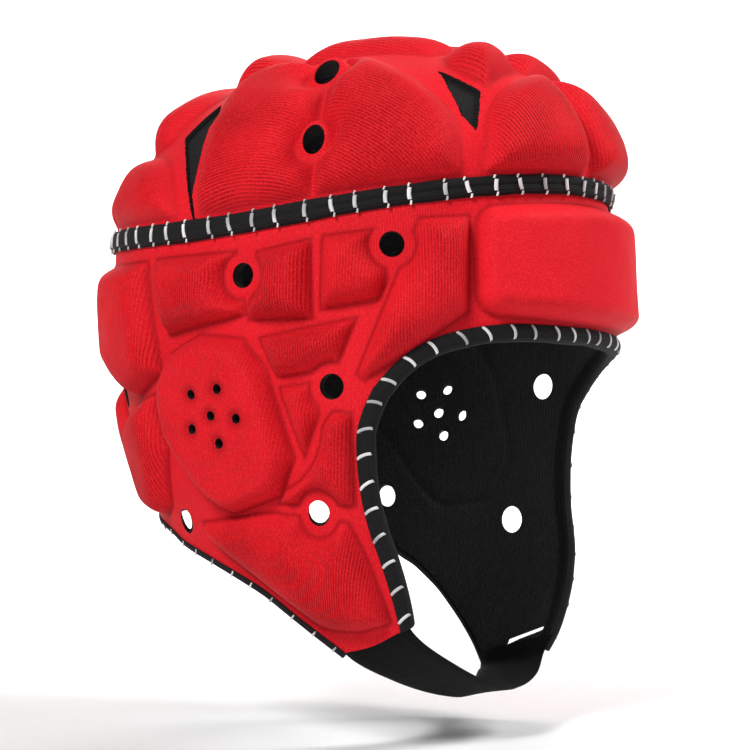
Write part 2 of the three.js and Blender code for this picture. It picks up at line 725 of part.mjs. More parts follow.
// A bound edge: tape folded round the rim, outside the cover's edge and stepped along it
function binding(edge, { reach, edge: lip, middle, tip, inner }) {
  const rows = edge.map(([p, q], k) => {
    const before = edge[Math.max(0, k - 1)];
    const after = edge[Math.min(edge.length - 1, k + 1)];
    const along = new THREE.Vector2(after[0] - before[0], after[1] - before[1]).normalize();
    const spot = (out) => [p + along.y * out, q - along.x * out];
    return [
      lift(SIDE, spot(LAYER_GAP), lip),
      lift(SIDE, spot(reach / 2), middle),
      lift(SIDE, spot(reach), tip),
      lift(SIDE, spot(reach), tip + (inner - lip) / 2),
      lift(SIDE, spot(reach / 2), inner),
      lift(SIDE, spot(LAYER_GAP), inner),
    ];
  });
  return strip(rows, false);
}
const faceEdge = [...mirror(leftHalf.face.slice(1)).reverse(), ...rightHalf.face];
add("face_binding", binding(faceEdge, FACE_TAPE), black());
const beyond = leftHalf.neck.slice(0, -1).map(([p, q]) => [2 * HALF_GIRTH - p, q]);
add("neck_binding", binding([...rightHalf.neck, ...beyond.reverse()], NECK_TAPE), black());

// The chin strap runs from one flap, under the chin, to the other
const strapEnd = ({ front, rear }) => [front, rear].map((place) => lift(SIDE, place, STRAP_LAP));
const strapLoop = STRAP_LOOP.map(({ front, rear }) =>
  [front, rear].map(([x, y, z]) => new THREE.Vector3(x, y, z - SEAT_ABOVE_EARS))
);
const strapStart = [LAP_RIGHT, TIP_RIGHT].map(strapEnd);
const strapFinish = [TIP_LEFT, LAP_LEFT].map(strapEnd);
const stations = [...strapStart, ...strapLoop, ...strapFinish];
const strapEdges = [0, 1].map((k) => new THREE.CatmullRomCurve3(stations.map((pair) => pair[k])));
const strapRows = [];
for (let k = 0; k <= STRAP_STEPS; k += 1) {
  const [front, rear] = strapEdges.map((curve) => curve.getPoint(k / STRAP_STEPS));
  const [run, runRear] = strapEdges.map((curve) => curve.getTangent(k / STRAP_STEPS));
  const across = rear.clone().sub(front);
  const normal = run.add(runRear).cross(across).normalize();
  const half = STRAP_THICK / 2;
  strapRows.push([
    front.clone().addScaledVector(normal, half),
    rear.clone().addScaledVector(normal, half),
    rear.clone().addScaledVector(normal, -half),
    front.clone().addScaledVector(normal, -half),
  ]);
}
add("chin_strap", strip(strapRows, false), black());

export default guard;
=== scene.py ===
import math

import bmesh
import bpy
import numpy as np
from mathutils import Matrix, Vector


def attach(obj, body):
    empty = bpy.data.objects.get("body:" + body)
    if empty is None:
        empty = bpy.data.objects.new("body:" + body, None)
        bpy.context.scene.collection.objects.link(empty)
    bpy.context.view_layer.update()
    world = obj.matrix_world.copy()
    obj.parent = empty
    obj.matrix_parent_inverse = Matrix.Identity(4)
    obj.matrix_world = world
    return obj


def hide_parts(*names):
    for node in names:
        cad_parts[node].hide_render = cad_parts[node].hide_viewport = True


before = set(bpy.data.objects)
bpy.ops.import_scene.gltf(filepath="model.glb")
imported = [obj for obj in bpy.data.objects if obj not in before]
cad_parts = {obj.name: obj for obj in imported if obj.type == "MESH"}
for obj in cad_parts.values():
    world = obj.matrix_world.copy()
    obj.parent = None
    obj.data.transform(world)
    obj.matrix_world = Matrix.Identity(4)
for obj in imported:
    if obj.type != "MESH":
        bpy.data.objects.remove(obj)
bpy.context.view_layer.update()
MM = 0.001

# Heights are measured from the ear line, in millimetres; the origin is the top of the lining
SEAT_ABOVE_EARS = 133.3

# Layers, measured outwards from the face of the cover between the pads
COVER_THICK = 1.6
LINING_OUTSIDE = -1.9
LINING_INSIDE = -4.4
JOIN_GAP = 1.0

# The head form: height, half width, reach to the front, reach to the back, squareness in front
SECTIONS = np.array([
    (100, 80.0, 97.0, 103.0, 2.1),
    (80, 81.5, 98.5, 104.5, 2.1),
    (60, 82.5, 99.5, 106.0, 2.15),
    (40, 83.0, 100.0, 106.0, 2.2),
    (15, 82.0, 100.0, 103.5, 2.4),
    (0, 80.5, 100.0, 99.5, 2.5),
    (-15, 79.0, 100.0, 95.0, 2.6),
    (-30, 76.5, 98.0, 89.0, 2.7),
    (-55, 71.0, 92.0, 78.0, 2.8),
    (-75, 65.5, 83.0, 70.0, 2.8),
    (-95, 59.0, 74.0, 64.0, 2.8),
    (-115, 51.0, 68.0, 60.0, 2.8),
])
BACK_SQUARENESS = 2.2
GIRTH_HEIGHT = 30
BAND = {"sides": 67.3, "tilt": 8, "brow": 7}
CROWN_TOP = 139
CROWN_LEAN = 12
CROWN_REACH = 112
FLAP_TURN = {"slope": 0.2, "pivot": 10, "full": 40}

# The lower edge of the right side, as girth from the front centre and height
BROW_EDGE = [(0, 28.3), (30, 29), (46, 28.8), (62, 26.5), (75, 22), (85, 15), (93, 6)]
CHEEK_EDGE = [(93, 6), (97, -3), (99, -13), (97.5, -31), (94, -45), (90, -55), (85, -68), (80, -82)]
TIP_EDGE = [(80, -82), (93, -88), (107, -91)]
NECK_EDGE = [(107, -91), (130, -78.8), (151, -67.3), (176, -58), (198, -52), (214, -47), (256, -42)]
NAPE_HEIGHT = -41

# The same edge of the left side, which hangs a little lower and further forward
LEFT_BROW_EDGE = [(0, 28.3), (20, 27), (35, 26), (48, 25), (62, 22.5), (74, 18), (83.5, 11.5), (91, 3.5)]
LEFT_CHEEK_EDGE = [(91, 3.5), (94.5, -4), (96.5, -13), (96.5, -22), (94.3, -31.5), (88.5, -44), (85.5, -53.5),
                   (81.5, -69.5), (80.5, -78), (82, -85.5)]
LEFT_TIP_EDGE = [(82, -85.5), (96, -95.5), (113, -100)]
LEFT_NECK_EDGE = [(113, -100), (123.8, -92.6), (132.3, -87.1), (143.3, -80.6), (154.3, -74.6), (167.8, -68.6),
                  (180.3, -64.6), (198, -56), (214, -49), (256, -42)]
BACK_DIVIDE = 2

# Pads of one side: swell, width of the slope, corners as girth and height
SIDE_PADS = {
    "back_upper_pad": (7, 9, [(242, 56), (294, 56), (294, 12), (247, 12)]),
    "rear_upper_pad": (9, 9, [(198, 55.5), (235, 55.5), (240, 16), (210, 3), (189.5, 12.5)]),
    "over_ear_pad": (9, 9, [(149, 57), (192.5, 56), (184, 26.5), (144, 33.5)]),
    "side_upper_pad": (9, 9, [(140, 56.5), (117.3, 60.5), (116.3, 31.5), (143.5, 31.5)]),
    "temple_upper_pad": (9, 9, [(112.7, 61.5), (92, 63.5), (88, 45), (91.5, 38), (113.2, 34.5)]),
    "temple_pad": (10, 11, [(57.5, 68.5), (76.5, 67.5), (99.5, 11.5), (96.5, 9), (59, 33.5)]),
    "front_of_ear_pad": (8.5, 9, [(138.5, 25), (99.5, 31.8), (107, 13.7), (131, 10.3)]),
    "small_cheek_pad": (7, 8, [(130.5, 7), (117, 8.5), (114, -3), (120.5, -18.5)]),
    "face_edge_pad": (7.5, 8, [(108.5, -1.5), (101.5, -2.5), (100, -36), (134, -36)]),
    "cheek_pad": (9, 11, [(178, -44), (138, -39), (103, -42), (96.5, -53), (84.5, -79),
                          (99, -83), (119, -82), (152, -63.5), (172, -52.5)]),
    "rear_lower_pad": (8, 9, [(217, 0), (196.5, 5), (192, -16), (199.5, -38.5), (208, -43), (224, -40),
                              (229, -8)]),
    "back_lower_pad": (6, 9, [(243, 7), (294, 7), (294, -38), (229, -39.5), (234, -8)]),
    "ear_cup": (8.5, 7, [(166, 27), (146, 25), (136, 14), (124.8, -19), (132, -33),
                         (157, -40.5), (169.5, -34), (188.5, -12), (191, 5), (182.5, 20)]),
}
FOREHEAD = {"swell": 9.4, "slope": 9, "half_width": 56, "top": 71.5, "peak": 75,
            "right_bottom": 32.4, "left_bottom": 27, "corner": 8}

# Pads of one half of the crown, as reach to the side and to the front on the crown laid flat
CROWN_PADS = {
    "crown_rear_side_pad": [(122, 47.3), (52, 9.8), (38, -4), (37, -23), (50, -30.5), (72, -30), (122, -25)],
    "crown_front_side_pad": [(122, 49.7), (41, 6.7), (31, 5), (25.5, 29), (34.5, 46), (49, 68), (51.5, 78),
                             (71.8, 108.8)],
    "crown_top_front_pad": [(2.2, -16), (31.5, -16), (28.5, -3), (20.5, 28), (2.2, 28.5)],
    "crown_top_rear_pad": [(2.2, -20), (32.3, -20), (33, -22), (36.5, -33), (30, -37), (2.2, -34)],
    "crown_front_upper_pad": [(2.2, 32.5), (18.5, 31.5), (26.5, 40), (27.3, 57.5), (2.2, 48)],
    "crown_front_lower_pad": [(2.2, 53), (28, 63), (39.5, 71), (50, 86), (68.2, 115.2), (2.2, 120)],
    "crown_back_upper_pad": [(2.2, -39), (31, -42), (52, -53.5), (46, -64), (2.2, -72)],
    "crown_back_side_pad": [(57, -56), (66, -50), (83, -44), (120, -38), (80, -118), (45.5, -68)],
    "crown_back_lower_pad": [(2.2, -76.5), (41.5, -69), (74, -120), (2.2, -120)],
}
CROWN_SWELL = 8.6
CROWN_FULLER = {"crown_top_rear_pad": 1.2, "crown_back_side_pad": -1.5, "crown_back_lower_pad": -2.5,
                "crown_top_front_pad": -2, "crown_front_upper_pad": 1}
CROWN_SLOPE = 11

# Vents, ear holes, darts and slot, with the flat land that pads leave round them
VENT_RADIUS = 4.7
VENT_LAND = 4.2
BAND_LAND = 5.6
FACE_EDGE_HOLLOW = ((136, -8), 23)
SIDE_VENTS = [(146, 48), (86.5, 58), (109, 7), (115.5, -39), (190, -44), (234, 4)]
LEFT_SIDE_VENTS = [(146, 48), (86.5, 58), (109.5, 8), (120, -41), (187, -44.5), (234, 4)]
LEANING_VENTS = {(109.5, 8): 0.9, (120, -41): 0.68}
LEANING_RADIUS = 5.4
CROWN_VENTS = [(48, 8), (81, 26)]
EAR_HOLE_RADIUS = 1.9
EAR_HOLES = [(166.5, 5), (153.5, 7), (157.5, -3), (145.5, -4), (167.5, -8), (154.5, -13)]
LEFT_EAR_HOLES = {"radius": 2.5, "back": 5.6, "lean": 0.46}
REAR_DART = [(42, -37), (48, -41), (56, -46.5), (75, -40.5), (90, -36), (105, -31),
             (104, -29.8), (93, -33), (80, -32.5), (70, -33.5), (60, -34.5), (51, -33.5)]
FRONT_DART = [(30.5, 39.5), (30.8, 58.5), (46, 74.5), (45.5, 65), (39, 52.5)]
STRAP_SLOT = {"from": (-82.5, -78.5), "to": (-103.5, -89.5), "width": 2.1}

# How the foam swells under the cloth: softness of creases and corners, roundness of the pads
CREASE = 0.35
CROWN_CREASE = 1.0
PILLOW = 1.25
PLUMP = 3
HIP = 1.2
PUCKER = {"depth": 0.3, "folds": 5, "ring": 12, "width": 4}
VENT_LIP = {"tilt": 0.5, "start": 0.5, "flat": 0.6, "fade": 2.6}
EAR_DIMPLE = {"depth": 1.8, "width": 2.9}
EAR_CUP_FACE = 7

# Unevenness: height, size and seed of each kind of lump, full on a pad of the given height
FULL_PAD = 9
SIDE_LUMPS = [(0.45, 17, 1), (0.25, 8, 2)]
CROWN_LUMPS = [(0.5, 19, 3), (0.3, 9, 4)]

# Mesh fineness
BROW_COLUMNS = 128
SIDE_COLUMNS = 272
UPPER_ROWS = 72
LOWER_ROWS = 120
TIP_COLUMNS = 40
CROWN_CELLS = 288
EDGE_STEPS = 40
GIRTH_STEPS = 720
SETTLE = {"reach": 0.36, "steep": 0.7, "step": 0.05, "softness": 0.05}
WELDS_PER_MM = 500


# The form

def unit(v):
    return v / np.linalg.norm(v, axis=-1, keepdims=True)


def eased(t, start, end, leave, arrive):
    """The cubic from start to end that leaves and arrives with the given slopes."""
    return (start + leave * t + (3 * (end - start) - 2 * leave - arrive) * t ** 2
            + (2 * (start - end) + leave + arrive) * t ** 3)


def run_along(line):
    """The distance of each point from the start of its line."""
    return np.concatenate([[0], np.cumsum(np.linalg.norm(np.diff(line, axis=0), axis=1))])


def place_at(run, line, at):
    """The place on a line at a distance from its start."""
    return np.stack([np.interp(at, run, line[:, k]) for k in (0, 1)], -1)


def section_at(height):
    """The form's half width, front, back and squareness at a height, eased between the sections."""
    heights = SECTIONS[:, 0]
    row = np.clip(np.searchsorted(-heights, -height) - 1, 1, len(heights) - 3)
    before, start, end, after = (SECTIONS[row + k] for k in (-1, 0, 1, 2))
    span = end[..., :1] - start[..., :1]
    t = (height[..., None] - start[..., :1]) / span
    leave = (end - before) / (end[..., :1] - before[..., :1]) * span
    arrive = (after - start) / (after[..., :1] - start[..., :1]) * span
    return np.moveaxis(eased(t, start, end, leave, arrive), -1, 0)[1:]


def form_radius(angle, height):
    half_width, front, back, squareness = section_at(height)
    ahead = np.cos(angle) > 0
    power = np.where(ahead, squareness, BACK_SQUARENESS)
    across = np.abs(np.sin(angle) / half_width) ** power
    along = np.abs(np.cos(angle) / np.where(ahead, front, back)) ** power
    return (across + along) ** (-1 / power)


def band_height(angle):
    c = np.cos(angle)
    return BAND["sides"] + BAND["tilt"] * c + BAND["brow"] * c * c


GIRTH_ANGLES = np.linspace(0, math.pi, GIRTH_STEPS + 1)
ring = form_radius(GIRTH_ANGLES, np.full_like(GIRTH_ANGLES, GIRTH_HEIGHT))
ring = np.stack([ring * np.sin(GIRTH_ANGLES), ring * np.cos(GIRTH_ANGLES)], -1)
GIRTHS = run_along(ring)
HALF_GIRTH = GIRTHS[-1]


def girth_angle(girth):
    wanted = np.abs(girth)
    past = wanted > HALF_GIRTH
    angle = np.interp(np.where(past, 2 * HALF_GIRTH - wanted, wanted), GIRTHS, GIRTH_ANGLES)
    return np.sign(girth) * np.where(past, 2 * math.pi - angle, angle)


def side_place(girth, height):
    """A point of the side chart; the left flap's lower part turns a little with its depth."""
    angle = girth_angle(girth)
    r = form_radius(angle, height)
    x, y, z = -r * np.sin(angle), -r * np.cos(angle), height
    depth = np.clip(-z / FLAP_TURN["full"], 0, 1)
    side = np.clip(x / FLAP_TURN["full"], 0, 1)
    turn = FLAP_TURN["slope"] * (y - FLAP_TURN["pivot"]) * depth * depth * (3 - 2 * depth) * side
    return np.stack([x, y, z + turn], -1)


def crown_place(side, ahead):
    """A point of the crown chart, which is the crown laid flat."""
    angle = np.arctan2(side, ahead)
    down = np.hypot(side, ahead) / CROWN_REACH * math.pi / 2
    band = band_height(angle)
    r = form_radius(angle, band) * np.sin(down)
    rise = np.cos(down)
    y = -r * np.cos(angle) - CROWN_LEAN * rise
    return np.stack([-r * np.sin(angle), y, band + (CROWN_TOP - band) * rise], -1)


def normal_at(place, p, q):
    step = 0.4
    across = place(p + step, q) - place(p - step, q)
    along = place(p, q + step) - place(p, q - step)
    return unit(np.cross(across, along) * (-1 if place is side_place else 1))


def lift(place, p, q, out):
    """Points off a chart by so much outwards, with the frame's origin."""
    p, q = np.asarray(p, float), np.asarray(q, float)
    point = place(p, q) + normal_at(place, p, q) * np.asarray(out, float)[..., None]
    point[..., 2] -= SEAT_ABOVE_EARS
    return point


# Pads as one height field over each chart

def grain(p, q, size, seed):
    """Smooth repeatable unevenness from -1 to 1, with lumps of a size."""
    x, y = p / size, q / size
    i, j = np.floor(x), np.floor(y)
    s, t = x - i, y - j
    s, t = s * s * (3 - 2 * s), t * t * (3 - 2 * t)

    def corner(a, b):
        n = np.sin(a * 127.1 + b * 311.7 + seed * 74.7) * 43758.5453
        return n - np.floor(n)

    low = corner(i, j) * (1 - s) + corner(i + 1, j) * s
    high = corner(i, j + 1) * (1 - s) + corner(i + 1, j + 1) * s
    return (low * (1 - t) + high * t) * 2 - 1


def edge_depths(corners, p, q):
    """How far inside each edge of a pad's outline a place lies."""
    corners = np.array(corners, float)
    after = np.roll(corners, -1, axis=0)
    turn = np.sign(np.sum(corners[:, 0] * after[:, 1] - after[:, 0] * corners[:, 1]))
    return [turn * ((p1 - p0) * (q - q0) - (q1 - q0) * (p - p0)) / math.hypot(p1 - p0, q1 - q0)
            for (p0, q0), (p1, q1) in zip(corners, after)]


def soft_least(values, softness):
    values = np.stack(values)
    least = values.min(axis=0)
    return least - softness * np.log(np.exp(-(values - least) / softness).sum(axis=0))


def swelled(depth, swell, slope, crease=CREASE):
    """A pad's height at a depth inside its outline."""
    d = (depth + np.sqrt(depth ** 2 + crease ** 2)) / 2
    t = np.minimum(1, d / slope)
    return swell * (1 - (1 - t) ** PLUMP)


def side_depths(p, q, softness):
    f = FOREHEAD
    bottom = f["left_bottom"] + (f["right_bottom"] - f["left_bottom"]) * (p / f["half_width"] + 1) / 2
    left, p = p < 0, np.abs(p)
    vents = []
    for (a, b), (left_a, left_b) in zip(SIDE_VENTS, LEFT_SIDE_VENTS):
        away = np.hypot(p - np.where(left, left_a, a), q - np.where(left, left_b, b))
        vents.append(away - VENT_RADIUS - VENT_LAND)
    found = {}
    for name, (_, _, corners) in SIDE_PADS.items():
        edges = edge_depths(corners, p, q)
        if name == "face_edge_pad":
            (a, b), radius = FACE_EDGE_HOLLOW
            edges.append(np.hypot(p - a, q - b) - radius)
        if name != "ear_cup":
            edges += vents
        found[name] = soft_least(edges, softness)
    a = p - f["half_width"] + f["corner"]
    top = f["top"] + (f["peak"] - f["top"]) * np.maximum(0, 1 - (p / f["half_width"]) ** 2)
    b = np.abs(q - (top + bottom) / 2) - (top - bottom) / 2 + f["corner"]
    outside = np.hypot(np.maximum(a, 0), np.maximum(b, 0)) + np.minimum(np.maximum(a, b), 0)
    found["forehead_pad"] = f["corner"] - outside
    return found


def ear_dimple(p, q):
    back = LEFT_EAR_HOLES["back"] + LEFT_EAR_HOLES["lean"] * EAR_CUP_FACE
    found = np.zeros_like(p)
    for a, b in EAR_HOLES:
        away = np.hypot(np.where(p > 0, p - a, -p - a - back), q - b)
        found = np.maximum(found, np.exp(-(away / EAR_DIMPLE["width"]) ** 2))
    return found


def lumpy(p, q, *lumps):
    """Unevenness from lumps, each given by its height, size and seed."""
    return sum(height * grain(p, q, size, seed) for height, size, seed in lumps)


def uneven(height, p, q, lumps):
    return height + np.clip(height / FULL_PAD, 0, 1) * lumpy(p, q, *lumps)


def side_swell(p, q):
    height = np.zeros_like(p)
    for name, depth in side_depths(p, q, HIP).items():
        if name == "forehead_pad":
            pad = swelled(depth, FOREHEAD["swell"], FOREHEAD["slope"])
        else:
            swell, slope, _ = SIDE_PADS[name]
            pad = swelled(depth, swell, slope * PILLOW)
        height = np.maximum(height, pad)
    return uneven(height - EAR_DIMPLE["depth"] * ear_dimple(p, q), p, q, SIDE_LUMPS)


def crown_depths(p, q, softness):
    p = np.abs(p)
    keep = [np.hypot(p - a, q - b) - VENT_RADIUS - VENT_LAND for a, b in CROWN_VENTS]
    keep.append(CROWN_REACH - BAND_LAND - np.hypot(p, q))
    return {name: soft_least(edge_depths(corners, p, q) + keep, softness)
            for name, corners in CROWN_PADS.items()}


def crown_swell(p, q):
    height = np.zeros_like(p)
    for name, depth in crown_depths(p, q, HIP).items():
        swell = CROWN_SWELL + CROWN_FULLER.get(name, 0)
        height = np.maximum(height, swelled(depth, swell, CROWN_SLOPE * PILLOW, CROWN_CREASE))
    for a, b in CROWN_VENTS:
        away, turn = np.hypot(np.abs(p) - a, q - b), np.arctan2(q - b, np.abs(p) - a)
        ring = np.exp(-((away - PUCKER["ring"]) / PUCKER["width"]) ** 2)
        height = height + PUCKER["depth"] * np.cos(PUCKER["folds"] * turn + a) * ring
        upwards = ((a - np.abs(p)) * a + (b - q) * b) / math.hypot(a, b)
        lip = VENT_LIP["tilt"] * (upwards + VENT_RADIUS + VENT_LIP["start"])
        beyond = np.maximum(0, away - VENT_RADIUS - VENT_LIP["flat"])
        height = np.maximum(height, lip * np.exp(-(beyond / VENT_LIP["fade"]) ** 2))
    return uneven(height, p, q, CROWN_LUMPS)


# Laying a grid over a chart

def spread(edge, count):
    """Even points along a smooth line through the given ones."""
    edge = np.array(edge, float)
    padded = np.vstack([edge[:1], edge, edge[-1:]])
    fine = []
    t = np.linspace(0, 1, EDGE_STEPS, endpoint=False)[:, None]
    for before, start, end, after in zip(padded, padded[1:], padded[2:], padded[3:]):
        fine.append(eased(t, start, end, (end - before) / 2, (after - start) / 2))
    fine = np.vstack([*fine, edge[-1:]])
    run = run_along(fine)
    return place_at(run, fine, np.linspace(0, run[-1], count + 1))


def patch(top, bottom, left, right):
    """A four-sided patch blended from its edges, as rows of places."""
    s = np.linspace(0, 1, len(top))[None, :, None]
    t = np.linspace(0, 1, len(left))[:, None, None]
    between = (1 - t) * top[None] + t * bottom[None] + (1 - s) * left[:, None] + s * right[:, None]
    corners = (1 - t) * ((1 - s) * top[0] + s * top[-1]) + t * ((1 - s) * bottom[0] + s * bottom[-1])
    return between - corners


def line(start, end, count):
    return np.linspace(start, end, count + 1)


def side_edges(thin=1, left=False):
    brow, cheek, tip, neck = (
        (LEFT_BROW_EDGE, LEFT_CHEEK_EDGE, LEFT_TIP_EDGE, LEFT_NECK_EDGE) if left
        else (BROW_EDGE, CHEEK_EDGE, TIP_EDGE, NECK_EDGE))
    divide = line(cheek[0], (HALF_GIRTH, BACK_DIVIDE), SIDE_COLUMNS // thin)
    brow = spread(brow, BROW_COLUMNS // thin)
    tip = spread(tip, TIP_COLUMNS // thin)
    neck = spread(neck + [(HALF_GIRTH, NAPE_HEIGHT)], (SIDE_COLUMNS - TIP_COLUMNS) // thin)
    cheek = spread(cheek, LOWER_ROWS // thin)
    return divide, brow, tip, neck, cheek


def half_blocks(thin, left):
    divide, brow, tip, neck, cheek = side_edges(thin, left)
    under = np.vstack([brow[:-1], divide])
    over = under.copy()
    over[:, 1] = band_height(girth_angle(over[:, 0])) - JOIN_GAP / 2
    front, back = (line(over[k], under[k], UPPER_ROWS // thin) for k in (0, -1))
    hem = np.vstack([tip[:-1], neck])
    nape = line(divide[-1], hem[-1], LOWER_ROWS // thin)
    return [patch(over, under, front, back), patch(divide, hem, cheek, nape)]


def side_blocks(thin=1):
    return half_blocks(thin, False) + [block[:, ::-1] * (-1, 1) for block in half_blocks(thin, True)]


def crown_block(thin=1):
    s = np.linspace(-1, 1, CROWN_CELLS // thin + 1)
    s, t = np.meshgrid(s, s)
    reach = CROWN_REACH - JOIN_GAP / 2
    return [np.stack([reach * s * np.sqrt(1 - t * t / 2), reach * t * np.sqrt(1 - s * s / 2)], -1)]


def settle_on_creases(blocks, depths):
    """Moves the grid's places that lie close to a pad's edge on to that edge."""

    def level(p, q):
        return np.max(np.stack(list(depths(p, q, SETTLE["softness"]).values())), axis=0)

    done = []
    for block in blocks:
        block = block.copy()
        inner = block[1:-1, 1:-1]
        p, q = inner[..., 0], inner[..., 1]
        around = (block[:-2, 1:-1], block[2:, 1:-1], block[1:-1, :-2], block[1:-1, 2:])
        gaps = [np.linalg.norm(inner - beside, axis=-1) for beside in around]
        near = SETTLE["reach"] * np.min(gaps, axis=0)
        e = SETTLE["step"]
        here = level(p, q)
        slope = np.stack([level(p + e, q) - level(p - e, q), level(p, q + e) - level(p, q - e)], -1) / (2 * e)
        steep = np.linalg.norm(slope, axis=-1)
        move = np.where((np.abs(here) < near) & (steep > SETTLE["steep"]), here, 0)
        move /= np.maximum(steep, SETTLE["steep"]) ** 2
        block[1:-1, 1:-1] -= move[..., None] * slope
        done.append(block)
    return done


def weld(points, blocks):
    """The points without doubles, and the place of each old point among them."""
    if len(blocks) == 1:
        return points, np.arange(len(points))
    keys = np.round(points * WELDS_PER_MM).astype(int)
    _, first, index = np.unique(keys, axis=0, return_index=True, return_inverse=True)
    return points[first], index.ravel()


def quads(shape, start):
    """The four-cornered faces of a grid whose points are numbered from start."""
    rows, columns = shape
    grid = start + np.arange(rows * columns).reshape(rows, columns)
    return np.stack([grid[:-1, :-1], grid[:-1, 1:], grid[1:, 1:], grid[1:, :-1]], -1).reshape(-1, 4)


def layer(place, blocks, out):
    """Points, faces and the places of one face of a wall."""
    points, faces, start = [], [], 0
    for block in blocks:
        p, q = block[..., 0], block[..., 1]
        points.append(lift(place, p, q, out(p, q)).reshape(-1, 3))
        faces.append(quads(block.shape[:2], start))
        start += p.size
    places = np.vstack([block.reshape(-1, 2) for block in blocks])
    return np.vstack(points), np.vstack(faces), places


def wall(name, place, blocks, fine, coarse, backing=4, marks=None):
    """A closed wall: a fine face, a coarser face behind it and a rim between them."""
    points, faces, places = layer(place, blocks, fine)
    verts, index = weld(points, blocks)
    thin_blocks = [block[::backing, ::backing] for block in blocks]
    back_points, back_faces, back_places = layer(place, thin_blocks, coarse)
    back_verts, back_index = weld(back_points, blocks)
    back_index = back_index + len(verts)
    behind = np.zeros(len(points), int)
    start = thin_start = 0
    for block, thin in zip(blocks, thin_blocks):
        i, j = np.meshgrid(range(block.shape[0]), range(block.shape[1]), indexing="ij")
        behind[start:start + i.size] = (thin_start + (i // backing) * thin.shape[1] + j // backing).ravel()
        start += i.size
        thin_start += thin.shape[0] * thin.shape[1]
    edges = np.stack([faces, np.roll(faces, -1, axis=1)], -1).reshape(-1, 2)
    a, b = index[edges[:, 0]], index[edges[:, 1]]
    alone = ~np.isin(a * len(verts) + b, b * len(verts) + a)
    rim_faces, rim_places = [], []
    for a, b in edges[alone]:
        rim = [index[b], index[a]]
        rim_places += [places[b], places[a]]
        for c in dict.fromkeys((behind[a], behind[b])):
            rim.append(back_index[c])
            rim_places.append(back_places[c])
        rim_faces.append([int(c) for c in rim])
    back_faces = back_faces[:, ::-1]
    faced = index[faces].tolist()
    spots = [places[faces].reshape(-1, 2), back_places[back_faces].reshape(-1, 2), *rim_places]
    piece = cloth_piece(name, np.vstack([verts, back_verts]),
                        faced + back_index[back_faces].tolist() + rim_faces, np.vstack(spots), len(faced))
    for mark, value_at in (marks or {}).items():
        values = np.zeros(len(verts) + len(back_verts), np.float32)
        values[index] = value_at(places[:, 0], places[:, 1])
        piece.data.attributes.new(mark, "FLOAT", "POINT").data.foreach_set("value", values)
    return piece


def new_mesh(name, points, faces=()):
    mesh = bpy.data.meshes.new(name)
    mesh.from_pydata(points, [], faces)
    return mesh


def placed(name, data):
    thing = bpy.data.objects.new(name, data)
    bpy.context.scene.collection.objects.link(thing)
    return thing


def cloth_piece(name, points, faces, places, front=None):
    """A mesh object in metres, its UV map holding the cloth's own places in metres.

    Faces after the first ones, as many as front, take the second finish."""
    points = points * MM
    mesh = new_mesh(name, points.tolist(), faces)
    uv = mesh.uv_layers.new(name="cloth")
    uv.data.foreach_set("uv", (places * MM).astype(np.float32).ravel())
    if front is not None:
        mesh.polygons.foreach_set("material_index", [0] * front + [1] * (len(faces) - front))
    tris = np.array([(f[0], f[k], f[k + 1]) for f in faces for k in range(1, len(f) - 1)])
    a, b, c = (points[tris[:, k]] for k in range(3))
    if np.einsum("ij,ij->i", a, np.cross(b, c)).sum() < 0:
        mesh.flip_normals()
    return placed(name, mesh)


def sweep(name, rows, places, joined=False):
    """A closed strip through rows of points, with the places of its points for the UV map."""
    rows, places = np.asarray(rows, float), np.asarray(places, float)
    count = rows.shape[1]
    marks = places.reshape(-1, 2)
    faces, spots = [], []
    for n in range(len(rows) if joined else len(rows) - 1):
        m = (n + 1) % len(rows)
        for k in range(count):
            j = (k + 1) % count
            corner = [n * count + k, n * count + j, m * count + j, m * count + k]
            spot = marks[corner].copy()
            if m < n:
                spot[2:, 0] = 2 * marks[-1, 0] - marks[-1 - count, 0]
            faces.append(corner)
            spots.append(spot)
    if not joined:
        last = (len(rows) - 1) * count
        for end in (list(reversed(range(count))), [last + k for k in range(count)]):
            faces.append(end)
            spots.append(marks[end])
    return cloth_piece(name, rows.reshape(-1, 3), faces, np.vstack(spots))


def round_outline(centre, radius, sides):
    turn = np.arange(sides) / sides * 2 * math.pi
    return np.stack([centre[0] + radius * np.cos(turn), centre[1] + radius * np.sin(turn)], -1)


# Heights of a plug's rings off the cover, from outside to inside
PLUG = (14, 0.3, -9)


def cut_through(piece, place, cuts, raw_edge):
    """Cuts plugs through a wall; the cut faces take the raw edge's finish.

    A cut is an outline and its lean, outside and inside, as a shift for each millimetre outwards."""
    points, faces, start = [], [], 0
    for outline, outside, inside in cuts:
        outline = np.asarray(outline, float)
        n = len(outline)
        for out in PLUG:
            spots = outline + np.array(outside) * max(out, 0) + np.array(inside) * min(out, 0)
            points.append(lift(place, spots[:, 0], spots[:, 1], np.full(n, out)) * MM)
        for ring in range(len(PLUG) - 1):
            a = start + ring * n
            faces += [(a + k, a + n + k, a + n + (k + 1) % n, a + (k + 1) % n) for k in range(n)]
        last = start + (len(PLUG) - 1) * n
        faces.append(tuple(start + k for k in range(n)))
        faces.append(tuple(last + k for k in reversed(range(n))))
        start = last + n
    mesh = new_mesh("plugs", np.vstack(points).tolist(), faces)
    mesh.materials.append(raw_edge)
    plugs = placed("plugs", mesh)
    solid_out(mesh)
    cutter = piece.modifiers.new("vents", "BOOLEAN")
    cutter.object = plugs
    cutter.operation = "DIFFERENCE"
    cutter.solver = "MANIFOLD"
    cutter.material_mode = "TRANSFER"
    plain(piece)
    bpy.data.objects.remove(plugs)


def solid_out(mesh):
    """Turns all faces of a closed mesh outwards."""
    work = bmesh.new()
    work.from_mesh(mesh)
    bmesh.ops.recalc_face_normals(work, faces=work.faces)
    work.to_mesh(mesh)
    work.free()


